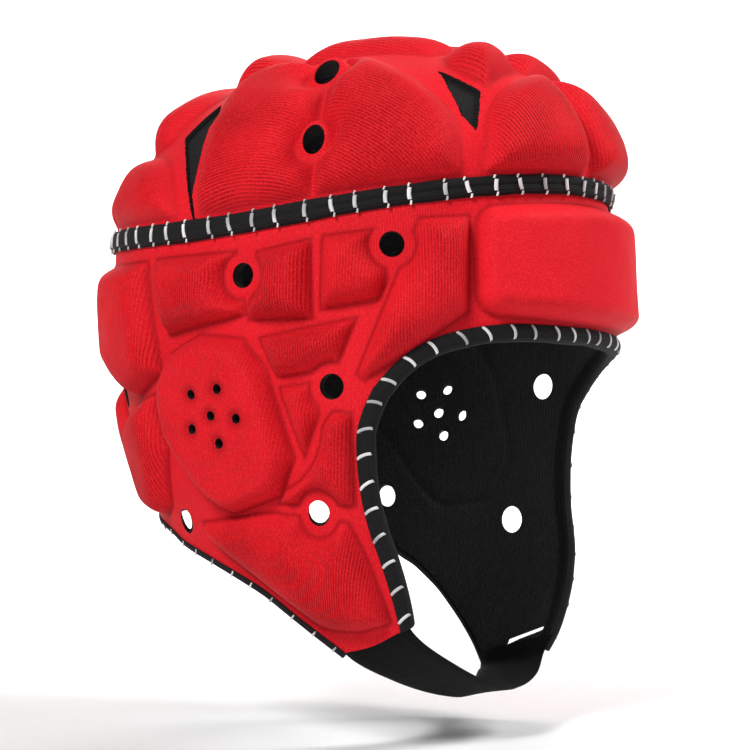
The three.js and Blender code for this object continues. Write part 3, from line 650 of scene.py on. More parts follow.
def plain(piece):
    """The piece as a plain mesh, with its modifiers worked in and taken off."""
    made = bpy.data.meshes.new_from_object(piece.evaluated_get(bpy.context.evaluated_depsgraph_get()))
    old = piece.data
    piece.modifiers.clear()
    piece.data = made
    bpy.data.meshes.remove(old)
    made.name = piece.name


# Finishes

def add_node(tree, kind, settings=None, sockets=None):
    made = tree.nodes.new(kind)
    for key, value in (settings or {}).items():
        setattr(made, key, value)
    for key, value in (sockets or {}).items():
        if isinstance(value, bpy.types.NodeSocket):
            tree.links.new(value, made.inputs[key])
        else:
            made.inputs[key].default_value = value
    return made


class Sock:
    """A socket of a finish; sums on it add Math nodes."""

    def __init__(self, finish, socket):
        self.finish, self.socket = finish, socket

    def maths(self, operation, *values):
        return self.finish.node("ShaderNodeMath", {"operation": operation}, dict(enumerate(values)))

    def __add__(self, other):
        return self.maths("ADD", self, other)

    def __radd__(self, other):
        return self.maths("ADD", other, self)

    def __sub__(self, other):
        return self.maths("SUBTRACT", self, other)

    def __rsub__(self, other):
        return self.maths("SUBTRACT", other, self)

    def __mul__(self, other):
        return self.maths("MULTIPLY", self, other)

    def __abs__(self):
        return self.maths("ABSOLUTE", self)

    def sine(self):
        return self.maths("SINE", self)

    def waves(self, pitch):
        return (self * (2 * math.pi / pitch)).sine()

    def clamped(self, low, high):
        return self.finish.node("ShaderNodeMapRange", {"interpolation_type": "SMOOTHSTEP"},
                                {"Value": self, "From Min": low, "From Max": high})


class Finish:
    """A material and the nodes that make it."""

    def __init__(self, name, roughness, specular, sheen=0.0, sheen_roughness=0.5):
        self.material = bpy.data.materials.new(name)
        self.material.use_nodes = True
        self.tree = self.material.node_tree
        self.shader = self.tree.nodes["Principled BSDF"]
        for socket, value in (("Roughness", roughness), ("Specular IOR Level", specular),
                              ("Sheen Weight", sheen), ("Sheen Roughness", sheen_roughness)):
            self.shader.inputs[socket].default_value = value

    def node(self, kind, settings=None, sockets=None, out=0):
        given = {key: getattr(value, "socket", value) for key, value in (sockets or {}).items()}
        return Sock(self, add_node(self.tree, kind, settings, given).outputs[out])

    def feed(self, socket, value):
        self.tree.links.new(value.socket, self.shader.inputs[socket])

    def cloth(self):
        """The two sockets of the cloth's own places, in metres."""
        places = self.node("ShaderNodeUVMap", {"uv_map": "cloth"})
        split = add_node(self.tree, "ShaderNodeSeparateXYZ", None, {0: places.socket})
        return Sock(self, split.outputs[0]), Sock(self, split.outputs[1])

    def noise(self, scale, detail):
        where = self.node("ShaderNodeTexCoord", out="Object")
        return self.node("ShaderNodeTexNoise", None, {"Vector": where, "Scale": scale, "Detail": detail})

    def mark(self, name):
        return self.node("ShaderNodeAttribute", {"attribute_name": name}, out="Fac")

    def mix(self, share, first, second):
        return self.node("ShaderNodeMix", {"data_type": "RGBA"}, {0: share, 6: first, 7: second}, out=2)

    def made(self, colour, roughness=None, height=None, strength=0.6, distance=0.0003):
        """The material, with what feeds its colour, roughness and bumps."""
        self.feed("Base Color", colour)
        if roughness:
            self.feed("Roughness", roughness)
        if height:
            self.feed("Normal", self.node("ShaderNodeBump", None, {
                "Height": height, "Strength": strength, "Distance": distance}))
        return self.material


# Colours of the cloth and thread, and the metres between their ribs, loops and cords. The dark reds for the
# rib grooves and the pads' creases are painted shade, and the channels' flat red is painted a little lighter,
# as painted light against the pads' shade.
REDS = {"drawn_dark": (0.52, 0.006, 0.011, 1), "drawn_light": (0.64, 0.009, 0.015, 1),
        "flat": (0.6, 0.009, 0.017, 1), "groove_shade": (0.22, 0.001, 0.003, 1),
        "speck": (0.84, 0.03, 0.04, 1), "crease_shade": (0.16, 0.001, 0.003, 1)}
LINING_BLACKS = (0.005, 0.005, 0.0054, 1), (0.032, 0.032, 0.033, 1)
TAPE_BLACKS = (0.003, 0.003, 0.0035, 1), (0.011, 0.011, 0.012, 1)
STRAP_BLACKS = (0.0022, 0.0022, 0.0026, 1), (0.009, 0.009, 0.0096, 1)
FOAM_BLACKS = (0.004, 0.004, 0.004, 1), (0.02, 0.018, 0.018, 1)
THREAD_WHITES = (0.3, 0.3, 0.31, 1), (0.74, 0.74, 0.73, 1)
FLOOR_WHITES = (0.74, 0.74, 0.74, 1), (0.78, 0.78, 0.78, 1)
SIDE_RIB, CROWN_RIB, JERSEY_LOOP = 0.00102, 0.0011, 0.0012
LINING_RIB, LINING_LOOP = 0.0016, 0.0011
TAPE_CORD, TAPE_WEAVE, STRAP_WEAVE = 0.0011, 0.0009, 0.0014
SMOOTH_BROW = {"half_width": 0.0545, "fade": 0.003}
STRAP_PATCH = {"from": 0.012, "to": 0.05, "fade": 0.003}


def jersey(name, pitch, smooth_front):
    """Red satin jersey: fine ribs that show most where pads draw it, a little speckle and uneven dye, painted
    shade in the rib grooves and along the pads' creases, and channels painted a little lighter against the
    pads' shade.
    """
    f = Finish(name, 0.55, 0.05, sheen=0.02, sheen_roughness=0.4)
    x, y = f.cloth()
    sway = f.noise(60, 2.0)
    rib = (x * (2 * math.pi / pitch) + sway * 5.0).sine() * 0.5 + 0.5
    loops = (y * (2 * math.pi / JERSEY_LOOP) + x * (math.pi / pitch)).sine() * 0.5 + 0.5
    strength = f.noise(34, 1.0).clamped(0.35, 0.7) * 0.55 + 0.45
    if smooth_front:
        beside = (abs(x) - SMOOTH_BROW["half_width"]).clamped(0.0, SMOOTH_BROW["fade"])
        strength = strength * (beside * 0.85 + 0.15)
    speck = f.noise(1500, 1.0)
    cloud = f.noise(26, 3.0)
    stretch = f.mark("stretch")
    strength = strength * (0.35 + stretch * 0.65)
    # Painted shade: the grooves between the ribs are coloured a dark red, most where the pads draw the cloth;
    # the same share makes them a little rougher.
    groove_shade = (1 - rib) * strength
    drawn = f.mix(cloud.clamped(0.3, 0.72), REDS["drawn_dark"], REDS["drawn_light"])
    # The channels' flat red is a little lighter than the drawn reds on the pads: painted light that makes up
    # for the shade the pads cast into the channels.
    red = f.mix(stretch, REDS["flat"], drawn)
    red = f.mix(groove_shade * 0.92, red, REDS["groove_shade"])
    red = f.mix(speck.clamped(0.4, 0.7) * 0.34, red, REDS["speck"])
    # Painted shade: the red darkens along the creases round the pads and the ear holes, partly as the pressed
    # cloth there.
    red = f.mix(f.mark("crease_shade") * 0.6, red, REDS["crease_shade"])
    height = rib * strength + loops * 0.12 + speck * 0.3
    return f.made(red, 0.54 + speck * 0.12 + groove_shade * 0.08, height, strength=0.9)


def knit(name):
    """Black knit lining: fine upright ribs with a diagonal loop pattern."""
    f = Finish(name, 0.88, 0.25, sheen=0.1)
    x, y = f.cloth()
    loops = (x + y * 0.5).waves(LINING_LOOP) * (y - x * 0.4).waves(LINING_LOOP)
    speck = f.noise(1100, 2.0)
    cloud = f.noise(30, 3.0)
    ribs = (x * (2 * math.pi / LINING_RIB) + cloud * 4.0).sine() * 0.5 + 0.5
    share = speck.clamped(0.3, 0.75) * (0.45 + ribs * 0.45) + loops * 0.15 + cloud * 0.15
    return f.made(f.mix(share, *LINING_BLACKS), 0.8 + speck * 0.16, loops * 0.4 + ribs + speck)


def elastic(name):
    """Black elastic tape: fine cords along it, a tight weave across."""
    f = Finish(name, 0.78, 0.16, sheen=0.03)
    x, y = f.cloth()
    cords = y.waves(TAPE_CORD) * 0.5 + 0.5
    weave = x.waves(TAPE_WEAVE) * 0.5 + 0.5
    speck = f.noise(900, 2.0)
    black = f.mix(speck * 0.5 + cords * weave * 0.5, *TAPE_BLACKS)
    height = cords * 0.8 + weave * 0.4 + speck * 0.5
    return f.made(black, 0.7 + speck * 0.2, height, distance=0.00025)


def webbing(name):
    """Black strap cloth: a close weave, with a brushed patch near the fastened end."""
    f = Finish(name, 0.8, 0.07, sheen=0.02)
    x, y = f.cloth()
    weave = x.waves(STRAP_WEAVE) * y.waves(STRAP_WEAVE)
    nap = f.noise(1300, 3.0)
    fade = STRAP_PATCH["fade"]
    brushed = (x - STRAP_PATCH["from"]).clamped(0.0, fade) * (STRAP_PATCH["to"] - x).clamped(0.0, fade)
    share = nap * 0.55 + weave * 0.2 + brushed * nap * 0.4
    height = weave * 0.5 + nap * (0.5 + brushed * 1.5)
    return f.made(f.mix(share, *STRAP_BLACKS), 0.66 + nap * 0.2, height)


def thread(name):
    """Pale thread, worn and shaded from stitch to stitch."""
    f = Finish(name, 0.6, 0.35, sheen=0.15)
    tone = f.noise(55, 2.0)
    strand = f.noise(2600, 1.0)
    white = f.mix(tone.clamped(0.35, 0.65), *THREAD_WHITES)
    return f.made(white, 0.5 + strand * 0.2, strand, strength=0.5, distance=0.0002)


def raw_foam(name):
    """The dark cut edge and back of a padded wall."""
    f = Finish(name, 0.95, 0.15)
    speck = f.noise(1400, 3.0)
    return f.made(f.mix(speck, *FOAM_BLACKS), height=speck)


SIDE_JERSEY = jersey("side_jersey", SIDE_RIB, True)
CROWN_JERSEY = jersey("crown_jersey", CROWN_RIB, False)
LINING_KNIT = knit("lining_knit")
TAPE_ELASTIC = elastic("tape_elastic")
STRAP_WEBBING = webbing("strap_webbing")
THREAD = thread("pale_thread")
RAW_FOAM = raw_foam("raw_foam")


# Cover and pads, cut by the vents

STRAIGHT = (0, 0)
VENT_SIDES = 40
EAR_HOLE_SIDES = 20
LOW_VENT_LEANS = {(190, -44): 3.1, (115.5, -39): 0.6}
SLOT_LEAN = (-1.15, 0)
RAGGED = (0.3, 1.0, 12)
RAGGED_STEP = 0.9
RAGGED_DRIFT = np.array((1.3, 0.7))
EAR_CUP_STRETCH = 0.3
# Painted shade along the pads' creases and round the ear holes: its softness, width, halo and strength.
SIDE_CREASE_SHADE = {"softness": 0.3, "width": 0.8, "hole_halo": 1.5}
CROWN_CREASE_SHADE = {"softness": 0.6, "width": 0.9, "depth": 0.4}


def vent(at, side):
    """A round cut, straight or leaning round the head."""
    lean = (-LEANING_VENTS.get(at, 0), 0)
    radius = LEANING_RADIUS if at in LEANING_VENTS else VENT_RADIUS
    inside = (-LOW_VENT_LEANS[at], 0) if at in LOW_VENT_LEANS else lean
    return round_outline((at[0] * side, at[1]), radius, VENT_SIDES), lean, inside


def dart(outline, side):
    """A cut with slightly ragged edges."""
    outline = np.array(outline, float)
    ragged = []
    for start, end in zip(outline, np.roll(outline, -1, axis=0)):
        count = max(1, round(np.linalg.norm(end - start) / RAGGED_STEP))
        aside = unit(np.array((end[1] - start[1], start[0] - end[0])))
        for k in range(count):
            worn = lumpy(*(start + k * RAGGED_DRIFT), RAGGED) if k else 0
            ragged.append(start + (end - start) * k / count + aside * worn)
    return np.array(ragged) * (side, 1), STRAIGHT, STRAIGHT


side_cuts, crown_vents, darts = [], [], []
for side in (1, -1):
    side_cuts += [vent(at, side) for at in (SIDE_VENTS if side > 0 else LEFT_SIDE_VENTS)]
    crown_vents += [vent(at, side) for at in CROWN_VENTS]
    darts += [dart(outline, side) for outline in (REAR_DART, FRONT_DART)]
for girth, height in EAR_HOLES:
    side_cuts.append((round_outline((girth, height), EAR_HOLE_RADIUS, EAR_HOLE_SIDES), STRAIGHT, STRAIGHT))
    left = round_outline((-girth - LEFT_EAR_HOLES["back"], height), LEFT_EAR_HOLES["radius"], EAR_HOLE_SIDES)
    lean = (-LEFT_EAR_HOLES["lean"], 0)
    side_cuts.append((left, lean, lean))
half_slot = np.array((0, STRAP_SLOT["width"] / 2))
slot_ends = np.array((STRAP_SLOT["from"], STRAP_SLOT["to"]), float)
slot_ends += np.array(SLOT_LEAN) * (COVER_THICK - LINING_INSIDE + LINING_OUTSIDE) / 2
slot_outline = np.vstack([slot_ends + half_slot, slot_ends[::-1] - half_slot])
side_cuts.append((slot_outline, SLOT_LEAN, SLOT_LEAN))


def crease_at(depths, width):
    """How close a place is to the crease round a pad, from 0 to 1."""
    near = np.min(np.abs(list(depths.values())), axis=0)
    return np.exp(-(near / width) ** 2)


# Painted shade, partly the pressed cloth: how dark the red is along the side pads' creases and round the ear
# holes' dimples, from 0 to 1.
def side_crease_shade(p, q):
    crease_shade = crease_at(side_depths(p, q, SIDE_CREASE_SHADE["softness"]), SIDE_CREASE_SHADE["width"])
    return np.maximum(crease_shade, np.minimum(1, ear_dimple(p, q) * SIDE_CREASE_SHADE["hole_halo"]))


# Painted shade along the crown pads' creases, lighter than on the sides.
def crown_crease_shade(p, q):
    return CROWN_CREASE_SHADE["depth"] * crease_at(crown_depths(p, q, CROWN_CREASE_SHADE["softness"]), CROWN_CREASE_SHADE["width"])


def side_stretch(p, q):
    """How far the cloth is drawn over a pad, from 0 in the channels to 1."""
    shares = [np.zeros_like(p)]
    for name, depth in side_depths(p, q, HIP).items():
        if name != "forehead_pad":
            drawn = EAR_CUP_STRETCH if name == "ear_cup" else 1
            shares.append(swelled(depth, drawn, SIDE_PADS[name][1] * PILLOW))
    return np.max(np.stack(shares), axis=0)


def crown_stretch(p, q):
    shares = [swelled(depth, 1, CROWN_SLOPE * PILLOW) for depth in crown_depths(p, q, HIP).values()]
    return np.max(np.stack(shares), axis=0)


def level(out):
    return lambda p, q: np.full_like(p, out)


def finish_and_cut(piece, place, finish, cuts):
    """Gives a wall its finish and cuts its vents and darts."""
    for layer_finish in (finish, RAW_FOAM):
        piece.data.materials.append(layer_finish)
    cut_through(piece, place, cuts, RAW_FOAM)


crown_grid = settle_on_creases(crown_block(), crown_depths)
crown_cover = wall("crown_padding", crown_place, crown_grid, crown_swell, level(-COVER_THICK),
                   marks={"crease_shade": crown_crease_shade, "stretch": crown_stretch})
finish_and_cut(crown_cover, crown_place, CROWN_JERSEY, crown_vents + darts)
side_grid = settle_on_creases(side_blocks(), side_depths)
side_cover = wall("side_padding", side_place, side_grid, side_swell, level(-COVER_THICK),
                  marks={"crease_shade": side_crease_shade, "stretch": side_stretch})
finish_and_cut(side_cover, side_place, SIDE_JERSEY, side_cuts)


# Lining, with the ear cup's seam pressed into it

LINING_SEAM = {"depth": 1.3, "beyond": 3, "width": 1.5}
SIDE_LINING_LUMP = (0.25, 22, 5)
CROWN_LINING_LUMP = (0.2, 24, 6)
LINING_THIN = 2


def side_inside(p, q):
    depth = soft_least(edge_depths(SIDE_PADS["ear_cup"][2], np.abs(p), q), HIP)
    seam = LINING_SEAM["depth"] * np.exp(-((depth + LINING_SEAM["beyond"]) / LINING_SEAM["width"]) ** 2)
    return LINING_INSIDE - seam + lumpy(p, q, SIDE_LINING_LUMP)


def crown_inside(p, q):
    return LINING_INSIDE + lumpy(p, q, CROWN_LINING_LUMP)


crown_lining = wall("crown_knit", crown_place, crown_block(LINING_THIN), crown_inside, level(LINING_OUTSIDE),
                    LINING_THIN)
finish_and_cut(crown_lining, crown_place, LINING_KNIT, crown_vents)
side_lining = wall("side_knit", side_place, side_blocks(LINING_THIN), side_inside, level(LINING_OUTSIDE),
                   LINING_THIN)
finish_and_cut(side_lining, side_place, LINING_KNIT, side_cuts)


# Headband tape over the join of crown and sides

TAPE_HALF = 4.0
TAPE_STEPS = 300
TAPE_COLUMNS = 15
TAPE_BACK_COLUMNS = 7
TAPE_BACK = 0.2
TAPE_FACE = {"edge": 0.9, "rise": 1.35, "middle_dip": 0.4, "dip_width": 0.16}
TAPE_LUMP = (0.12, 6, 7)
TAPE_WAVE = (0.04, 9, 8)


def tape_spot(girth, across, out):
    """A place on the tape, from its lower edge at -1 to its upper edge at 1."""
    angle = girth_angle(girth)
    reach = CROWN_REACH - TAPE_HALF * np.maximum(across, 0)
    low = lift(side_place, girth, band_height(angle) + TAPE_HALF * np.minimum(across, 0), out)
    high = lift(crown_place, reach * np.sin(angle), reach * np.cos(angle), out)
    return np.where((across < 0)[..., None], low, high)


def headband():
    across = np.linspace(-1, 1, TAPE_COLUMNS)
    dip = TAPE_FACE["middle_dip"] * np.exp(-(across / TAPE_FACE["dip_width"]) ** 2)
    face_out = TAPE_FACE["edge"] + TAPE_FACE["rise"] * (1 - np.abs(across) ** 4) - dip
    profile_across = np.concatenate([across, np.linspace(1, -1, TAPE_BACK_COLUMNS)])
    profile_out = np.concatenate([face_out, np.full(TAPE_BACK_COLUMNS, TAPE_BACK)])
    girths = (2 * np.arange(TAPE_STEPS) / TAPE_STEPS - 1) * HALF_GIRTH
    girth, across = np.meshgrid(girths, profile_across, indexing="ij")
    lumps = lumpy(girth, across * TAPE_HALF, TAPE_LUMP) * (profile_out > TAPE_BACK)
    wave = 1 + lumpy(girth, across * 0, TAPE_WAVE)
    rows = tape_spot(girth, across * wave, profile_out + lumps)
    return sweep("headband_elastic", rows, np.stack([girth, across * TAPE_HALF], -1), joined=True)


headband_tape = headband()
headband_tape.data.materials.append(TAPE_ELASTIC)


# Bound edges

# Sections of the bindings: reach beyond the edge, and height off the cover
FACE_PROFILE = [(-0.6, 0.2), (-0.5, 0.7), (0.4, 1.0), (1.7, 1.2), (3.1, 1.1), (4.4, 0.7), (5.3, -0.2),
                (5.7, -1.4), (5.8, -2.6), (5.5, -3.8), (4.6, -4.7), (3.1, -5.1), (1.7, -5.15), (0.4, -5.0),
                (0.25, -3.0), (0.25, 0.1)]
NECK_PROFILE = [(-0.5, 0.2), (-0.4, 0.6), (0.3, 0.85), (1.4, 0.7), (2.3, 0.1), (2.75, -1.2), (2.8, -2.6),
                (2.4, -4.0), (1.5, -4.8), (0.5, -5.1), (0.25, -4.9), (0.25, -3.0), (0.25, 0.1)]
FACE_WAVE = (0.03, 9, 9)
NECK_WAVE = (0.03, 9, 10)


def outward_of(edge):
    """The directions out of and along an edge, at each of its places."""
    along = unit(np.gradient(edge, axis=0))
    return np.stack([along[:, 1], -along[:, 0]], -1), along


def binding(name, edge, profile, wave):
    """Tape folded round a rim."""
    outward, _ = outward_of(edge)
    run = run_along(edge)
    profile = np.array(profile, float)
    beyond = profile[None, :, 0] * (1 + lumpy(run, run * 0, wave))[:, None]
    places = edge[:, None] + outward[:, None] * beyond[..., None]
    rows = lift(side_place, places[..., 0], places[..., 1], np.broadcast_to(profile[:, 1], beyond.shape))
    marks = np.stack([np.broadcast_to(run[:, None], beyond.shape), beyond + profile[None, :, 1] * 0.2], -1)
    piece = sweep(name, rows, marks)
    piece.data.materials.append(TAPE_ELASTIC)
    return piece


_, brow, _, neck, cheek = side_edges()
_, left_brow, _, left_neck, left_cheek = side_edges(left=True)
left_face = np.vstack([left_brow[1:], left_cheek[1:]]) * (-1, 1)
face_edge = np.vstack([left_face[::-1], brow, cheek[1:]])
face_binding = binding("face_edging", face_edge, FACE_PROFILE, FACE_WAVE)
beyond_back = left_neck[:-1].copy()
beyond_back[:, 0] = 2 * HALF_GIRTH - beyond_back[:, 0]
neck_edge = np.vstack([neck, beyond_back[::-1]])
neck_binding = binding("neck_edging", neck_edge, NECK_PROFILE, NECK_WAVE)


# Chin strap: its two edges run from the right flap, under the chin, to the left flap

STRAP_THICK = 1.8
STRAP_OFF_LINING = 1.5
STRAP_LAP = LINING_INSIDE - STRAP_OFF_LINING - STRAP_THICK / 2
STRAP_STEPS = 150
STRAP_COLUMNS = 13
STRAP_CUP = 0.5
STRAP_SQUARE = 10
STRAP_RIM = 0.1
STRAP_CLOTH_HALF = 13
# Front and rear edge on the right flap and the left flap, and between them
STRAP_LAPS = [((82, -72), (113, -80)), ((76, -84.5), (112.5, -93)),
              ((-67, -86.5), (-112.5, -102.5)), ((-66, -79.5), (-115, -97.5))]
STRAP_LOOP = [((-28, -59.5, -96.4), (-33, -35, -103.5)), ((1, -65, -107.5), (4, -41, -112.8)),
              ((31, -60.5, -105.5), (37, -30, -107))]


def strap_end(pair):
    spots = np.array(pair, float)
    return lift(side_place, spots[:, 0], spots[:, 1], np.full(2, STRAP_LAP))


def through(points, steps):
    """A smooth line through points, eased by the gaps between them."""
    points = np.vstack([2 * points[0] - points[1], points, 2 * points[-1] - points[-2]])
    found = []
    count = len(points) - 3
    for n in range(steps + 1):
        k = min(count - 1, int(n / steps * count))
        t = n / steps * count - k
        p = points[k:k + 4]
        g = np.linalg.norm(np.diff(p, axis=0), axis=1) ** 0.5
        leave = ((p[1] - p[0]) / g[0] - (p[2] - p[0]) / (g[0] + g[1]) + (p[2] - p[1]) / g[1]) * g[1]
        arrive = ((p[2] - p[1]) / g[1] - (p[3] - p[1]) / (g[1] + g[2]) + (p[3] - p[2]) / g[2]) * g[1]
        found.append(eased(t, p[1], p[2], leave, arrive))
    return np.array(found)


laps = [strap_end(pair) for pair in STRAP_LAPS]
loop = [np.array(pair, float) - (0, 0, SEAT_ABOVE_EARS) for pair in STRAP_LOOP]
stations = np.stack(laps[:2] + loop + laps[2:])
front, rear = (through(stations[:, k], STRAP_STEPS) for k in (0, 1))
middle = (front + rear) / 2
run = run_along(middle)
strap_out = unit(np.cross(np.gradient(middle, axis=0), rear - front))
half_across = np.linspace(-1, 1, STRAP_COLUMNS)
edge_round = np.sqrt(np.maximum(0, 1 - np.abs(half_across) ** STRAP_SQUARE)) * (1 - STRAP_RIM) + STRAP_RIM
strap_rows, strap_places = [], []
for face in (1, -1):
    for s, round_off in list(zip(half_across, edge_round))[::face]:
        out = face * STRAP_THICK / 2 * round_off + STRAP_CUP * (1 - s * s) - STRAP_CUP / 2
        strap_rows.append(middle + (rear - front) / 2 * s + strap_out * out)
        strap_places.append(np.stack([run, np.full_like(run, s * STRAP_CLOTH_HALF)], -1))
chin_strap = sweep("chin_webbing", np.stack(strap_rows, 1), np.stack(strap_places, 1))
chin_strap.data.materials.append(STRAP_WEBBING)


# Stitches, set by seats along the tapes: a bar across the tape and short returns at its edges

STRAND_HANDLE = 0.28
STRAND_SIDES = 7
STRAND_HEIGHT = 0.6


def stitch_tree():
    tree = bpy.data.node_groups.new("stitches", "GeometryNodeTree")
    for name, kind in (("Seats", "Geometry"), ("Thread Radius", "Float"), ("Rise", "Float"), ("Bow", "Float"),
                       ("Thread", "Material")):
        tree.interface.new_socket(name, in_out="INPUT", socket_type="NodeSocket" + kind)
    tree.interface.new_socket("Stitches", in_out="OUTPUT", socket_type="NodeSocketGeometry")

    def node(kind, sockets=None, settings=None):
        return add_node(tree, kind, settings, sockets).outputs

    given = node("NodeGroupInput")
    rise, fall = (node("ShaderNodeCombineXYZ", {"X": x, "Y": given["Bow"], "Z": given["Rise"]})[0]
                  for x in (-STRAND_HANDLE, STRAND_HANDLE))
    arc = node("GeometryNodeCurvePrimitiveBezierSegment", {
        "Resolution": STRAND_SIDES, "Start": (-0.5, 0, 0), "Start Handle": rise, "End Handle": fall,
        "End": (0.5, 0, 0)})
    profile = node("GeometryNodeCurvePrimitiveCircle", {
        "Resolution": STRAND_SIDES, "Radius": given["Thread Radius"]})
    strand = node("GeometryNodeCurveToMesh", {
        "Curve": arc[0], "Profile Curve": profile[0], "Fill Caps": True})
    kinds = {"along": "FLOAT_VECTOR", "outward": "FLOAT_VECTOR", "reach": "FLOAT", "width": "FLOAT"}
    named = {key: node("GeometryNodeInputNamedAttribute", {"Name": key}, {"data_type": kind})[0]
             for key, kind in kinds.items()}
    turn = node("FunctionNodeAxesToRotation", {0: named["outward"], 1: named["along"]},
                {"primary_axis": "Z", "secondary_axis": "X"})
    size = node("ShaderNodeCombineXYZ", {"X": named["reach"], "Y": named["width"], "Z": STRAND_HEIGHT})
    laid = node("GeometryNodeInstanceOnPoints", {
        "Points": given["Seats"], "Instance": strand[0], "Rotation": turn[0], "Scale": size[0]})
    real = node("GeometryNodeRealizeInstances", {"Geometry": laid[0]})
    soft = node("GeometryNodeSetShadeSmooth", {"Geometry": real[0]})
    painted = node("GeometryNodeSetMaterial", {"Geometry": soft[0], "Material": given["Thread"]})
    node("NodeGroupOutput", {"Stitches": painted[0]})
    return tree


STITCHES = stitch_tree()


def sew(name, seats, radius, rise, bow=0.0):
    """Stitches on seats: point, direction, outward normal, length in millimetres, share of the width."""
    mesh = new_mesh(name, [tuple(seat[0] * MM) for seat in seats])
    for key, column in (("along", 1), ("outward", 2)):
        attribute = mesh.attributes.new(key, "FLOAT_VECTOR", "POINT")
        attribute.data.foreach_set("vector", np.array([seat[column] for seat in seats], np.float32).ravel())
    for key, column, scale in (("reach", 3, MM), ("width", 4, 1)):
        attribute = mesh.attributes.new(key, "FLOAT", "POINT")
        attribute.data.foreach_set("value", np.array([seat[column] for seat in seats], np.float32) * scale)
    piece = placed(name, mesh)
    sewing = piece.modifiers.new("stitches", "NODES")
    sewing.node_group = STITCHES
    keys = {item.name: item.identifier for item in STITCHES.interface.items_tree if item.in_out == "INPUT"}
    for key, value in (("Thread Radius", radius), ("Rise", rise), ("Bow", bow)):
        sewing[keys[key]] = value * MM
    sewing[keys["Thread"]] = THREAD
    plain(piece)
    return piece


def seat_between(start, end, outward, width=1.0):
    return ((start + end) / 2, unit(end - start), outward, np.linalg.norm(end - start), width)


HEADBAND_PITCH = 10.4
FACE_PITCH = 10.1
NECK_PITCH = 11.5
HEADBAND_WANDER = 1.4
EDGE_WANDER = 0.8
rng = np.random.default_rng(11)


def headband_seats():
    """A bar over the middle of the tape and a short return at each of its edges."""
    seats = []
    count = int(2 * HALF_GIRTH / HEADBAND_PITCH)
    for n in range(count):
        girth = (2 * n / count - 1) * HALF_GIRTH + rng.uniform(-HEADBAND_WANDER, HEADBAND_WANDER)
        slant, bend = rng.uniform(0.1, 0.9), rng.uniform(0.3, 1.0)

        def spot(shift, across, out):
            return tape_spot(np.array([girth + shift]), np.array([across]), np.array([out]))[0]

        outward = unit(spot(0, 0.01, 3) - spot(0, 0.01, 1))
        seats.append(seat_between(spot(-slant, -0.62, 2.3), spot(slant, 0.62, 2.3), outward))
        for side in (1, -1):
            start = spot(side * (slant + bend), side * 0.74, 2.0)
            end = spot(side * (slant + bend - 0.2), side * 1.04, 1.0)
            seats.append(seat_between(start, end, outward, 0.5))
    return seats


def edge_seats(edge, pitch, first, stitch):
    """One stitch after another along a bound edge."""
    seats = []
    run = run_along(edge)
    edge_out, edge_along = outward_of(edge)
    count = int(run[-1] / pitch)
    for n in range(count):
        at = (n + first) * run[-1] / count + rng.uniform(-EDGE_WANDER, EDGE_WANDER)
        here, out_here, along_here = (place_at(run, rows, at) for rows in (edge, edge_out, edge_along))

        def spot(beyond, shift, out):
            place = here + out_here * beyond + along_here * shift
            return lift(side_place, place[:1], place[1:], np.array([out]))[0]

        seats.append(stitch(spot))
    return seats


def face_stitch(spot):
    outward = unit(spot(3, 0, 3) - spot(3, 0, 1))
    on_left = spot(0, 0, 0)[0] > 0
    slant = rng.uniform(0.4, 1.0) * (1 if on_left else -1)
    return seat_between(spot(-0.3, -slant * 0.6, 0.7), spot(4.9, slant * 2.2, 0.25), outward)


def neck_stitch(spot):
    outward = unit(spot(1, 0, 3) - spot(1, 0, 1))
    return seat_between(spot(-0.2, -0.6, 0.8), spot(2.5, 0.6, 0.35), outward)


headband_stitches = sew("headband_stitches", headband_seats(), 0.8, 0.35, 0.35)
face_stitches = sew("face_stitches", edge_seats(face_edge, FACE_PITCH, 0.6, face_stitch), 0.62, 2.0, 0.8)
neck_stitches = sew("neck_stitches", edge_seats(neck_edge, NECK_PITCH, 0.5, neck_stitch), 0.42, 0.3)


# What each piece stands for

SHARP_EDGE = math.radians(50)


def stands_for(piece, slot, *nodes):
    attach(piece, "root")
    if nodes:
        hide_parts(*nodes)


def both_sides(pads):
    return [f"{side}_{pad}" for pad in pads for side in ("right", "left")]


for piece in (crown_cover, side_cover, crown_lining, side_lining, headband_tape, face_binding, neck_binding,
              chin_strap):
    piece.data.shade_smooth()
    piece.data.set_sharp_from_angle(angle=SHARP_EDGE)
stands_for(crown_cover, "red_jersey", "crown_cover", *both_sides(CROWN_PADS))
stands_for(side_cover, "red_jersey", "side_cover", "forehead_pad", *both_sides(SIDE_PADS))
stands_for(crown_lining, "black_lining", "crown_lining")
stands_for(side_lining, "black_lining", "side_lining")
stands_for(headband_tape, "black_tape", "headband_tape")
stands_for(face_binding, "black_tape", "face_binding")
stands_for(neck_binding, "black_tape", "neck_binding")
stands_for(chin_strap, "black_strap", "chin_strap")
for piece in (headband_stitches, face_stitches, neck_stitches):
    stands_for(piece, "black_tape")


# Floor, light and camera

CAMERA = {"turn": math.radians(56), "away": 0.85, "lens": 102, "sensor": 36, "nearest": 0.05,
          "aim_right": 9 / 2125, "aim_up": 31 / 2125}
STAGE = {"floor": -0.262, "front": -2.6, "back": 1.6, "bend": 0.6, "top": 2.2, "half_width": 3.5}
BEND_STEPS = 25


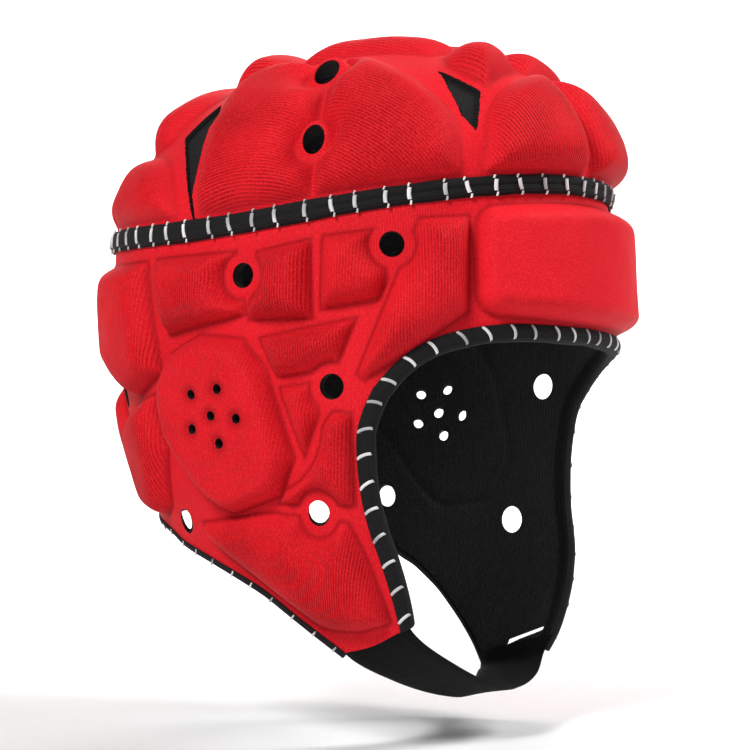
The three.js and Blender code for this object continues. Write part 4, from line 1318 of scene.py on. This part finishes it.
def floor_and_backdrop():
    """A floor that bends up into a backdrop, square to the camera."""
    away = np.array((math.sin(CAMERA["turn"]), math.cos(CAMERA["turn"])))
    aside = np.array((away[1], -away[0]))
    bend = STAGE["bend"]
    profile = [(STAGE["front"], 0.0)]
    for t in np.linspace(0, math.pi / 2, BEND_STEPS):
        profile.append((STAGE["back"] + bend * math.sin(t), bend - bend * math.cos(t)))
    profile.append((STAGE["back"] + bend, STAGE["top"]))
    points = []
    for reach, height in profile:
        for wide in (-STAGE["half_width"], STAGE["half_width"]):
            points.append((*(away * reach + aside * wide), STAGE["floor"] + height))
    faces = [(2 * k, 2 * k + 1, 2 * k + 3, 2 * k + 2) for k in range(len(profile) - 1)]
    mesh = new_mesh("floor", points, faces)
    mesh.shade_smooth()
    floor = placed("floor", mesh)
    paint = Finish("pale_floor", 0.8, 0.2)
    mesh.materials.append(paint.made(paint.mix(paint.noise(3, 2.0), *FLOOR_WHITES)))


def lamp(name, at, aim, size, power):
    light = bpy.data.lights.new(name, "AREA")
    light.shape = "DISK"
    light.size = size
    light.energy = power
    stand = placed(name, light)
    stand.location = at
    stand.rotation_euler = (Vector(aim) - Vector(at)).to_track_quat("-Z", "Y").to_euler()


floor_and_backdrop()
middle_of_guard = (0, 0, -0.1)
lamp("key", (-1.36, -0.02, 0.9), middle_of_guard, 0.5, 27)
lamp("front", (0.6, -1.0, 1.0), middle_of_guard, 0.7, 23)
lamp("camera_fill", (-1.3, -1.1, 0.1), middle_of_guard, 1.0, 3)
lamp("backdrop_wash", (0.8, 0.55, 1.4), (1.8, 1.2, 0.47), 0.8, 70)
world = bpy.data.worlds.new("studio")
world.use_nodes = True
sky = world.node_tree.nodes["Background"].inputs
sky["Color"].default_value = (1, 1, 1, 1)
sky["Strength"].default_value = 0.06
bpy.context.scene.world = world
bpy.context.scene.view_settings.view_transform = "Standard"

ahead = Vector((math.sin(CAMERA["turn"]), math.cos(CAMERA["turn"]), 0))
right = Vector((math.cos(CAMERA["turn"]), -math.sin(CAMERA["turn"]), 0))
camera = placed("camera", bpy.data.cameras.new("camera"))
camera.data.lens = CAMERA["lens"]
camera.data.sensor_width = CAMERA["sensor"]
camera.data.clip_start = CAMERA["nearest"]
camera.location = -ahead * CAMERA["away"] + Vector((0, 0, -SEAT_ABOVE_EARS * MM))
aim = ahead + right * CAMERA["aim_right"] + Vector((0, 0, 1)) * CAMERA["aim_up"]
camera.rotation_euler = aim.to_track_quat("-Z", "Y").to_euler()
bpy.context.scene.camera = camera
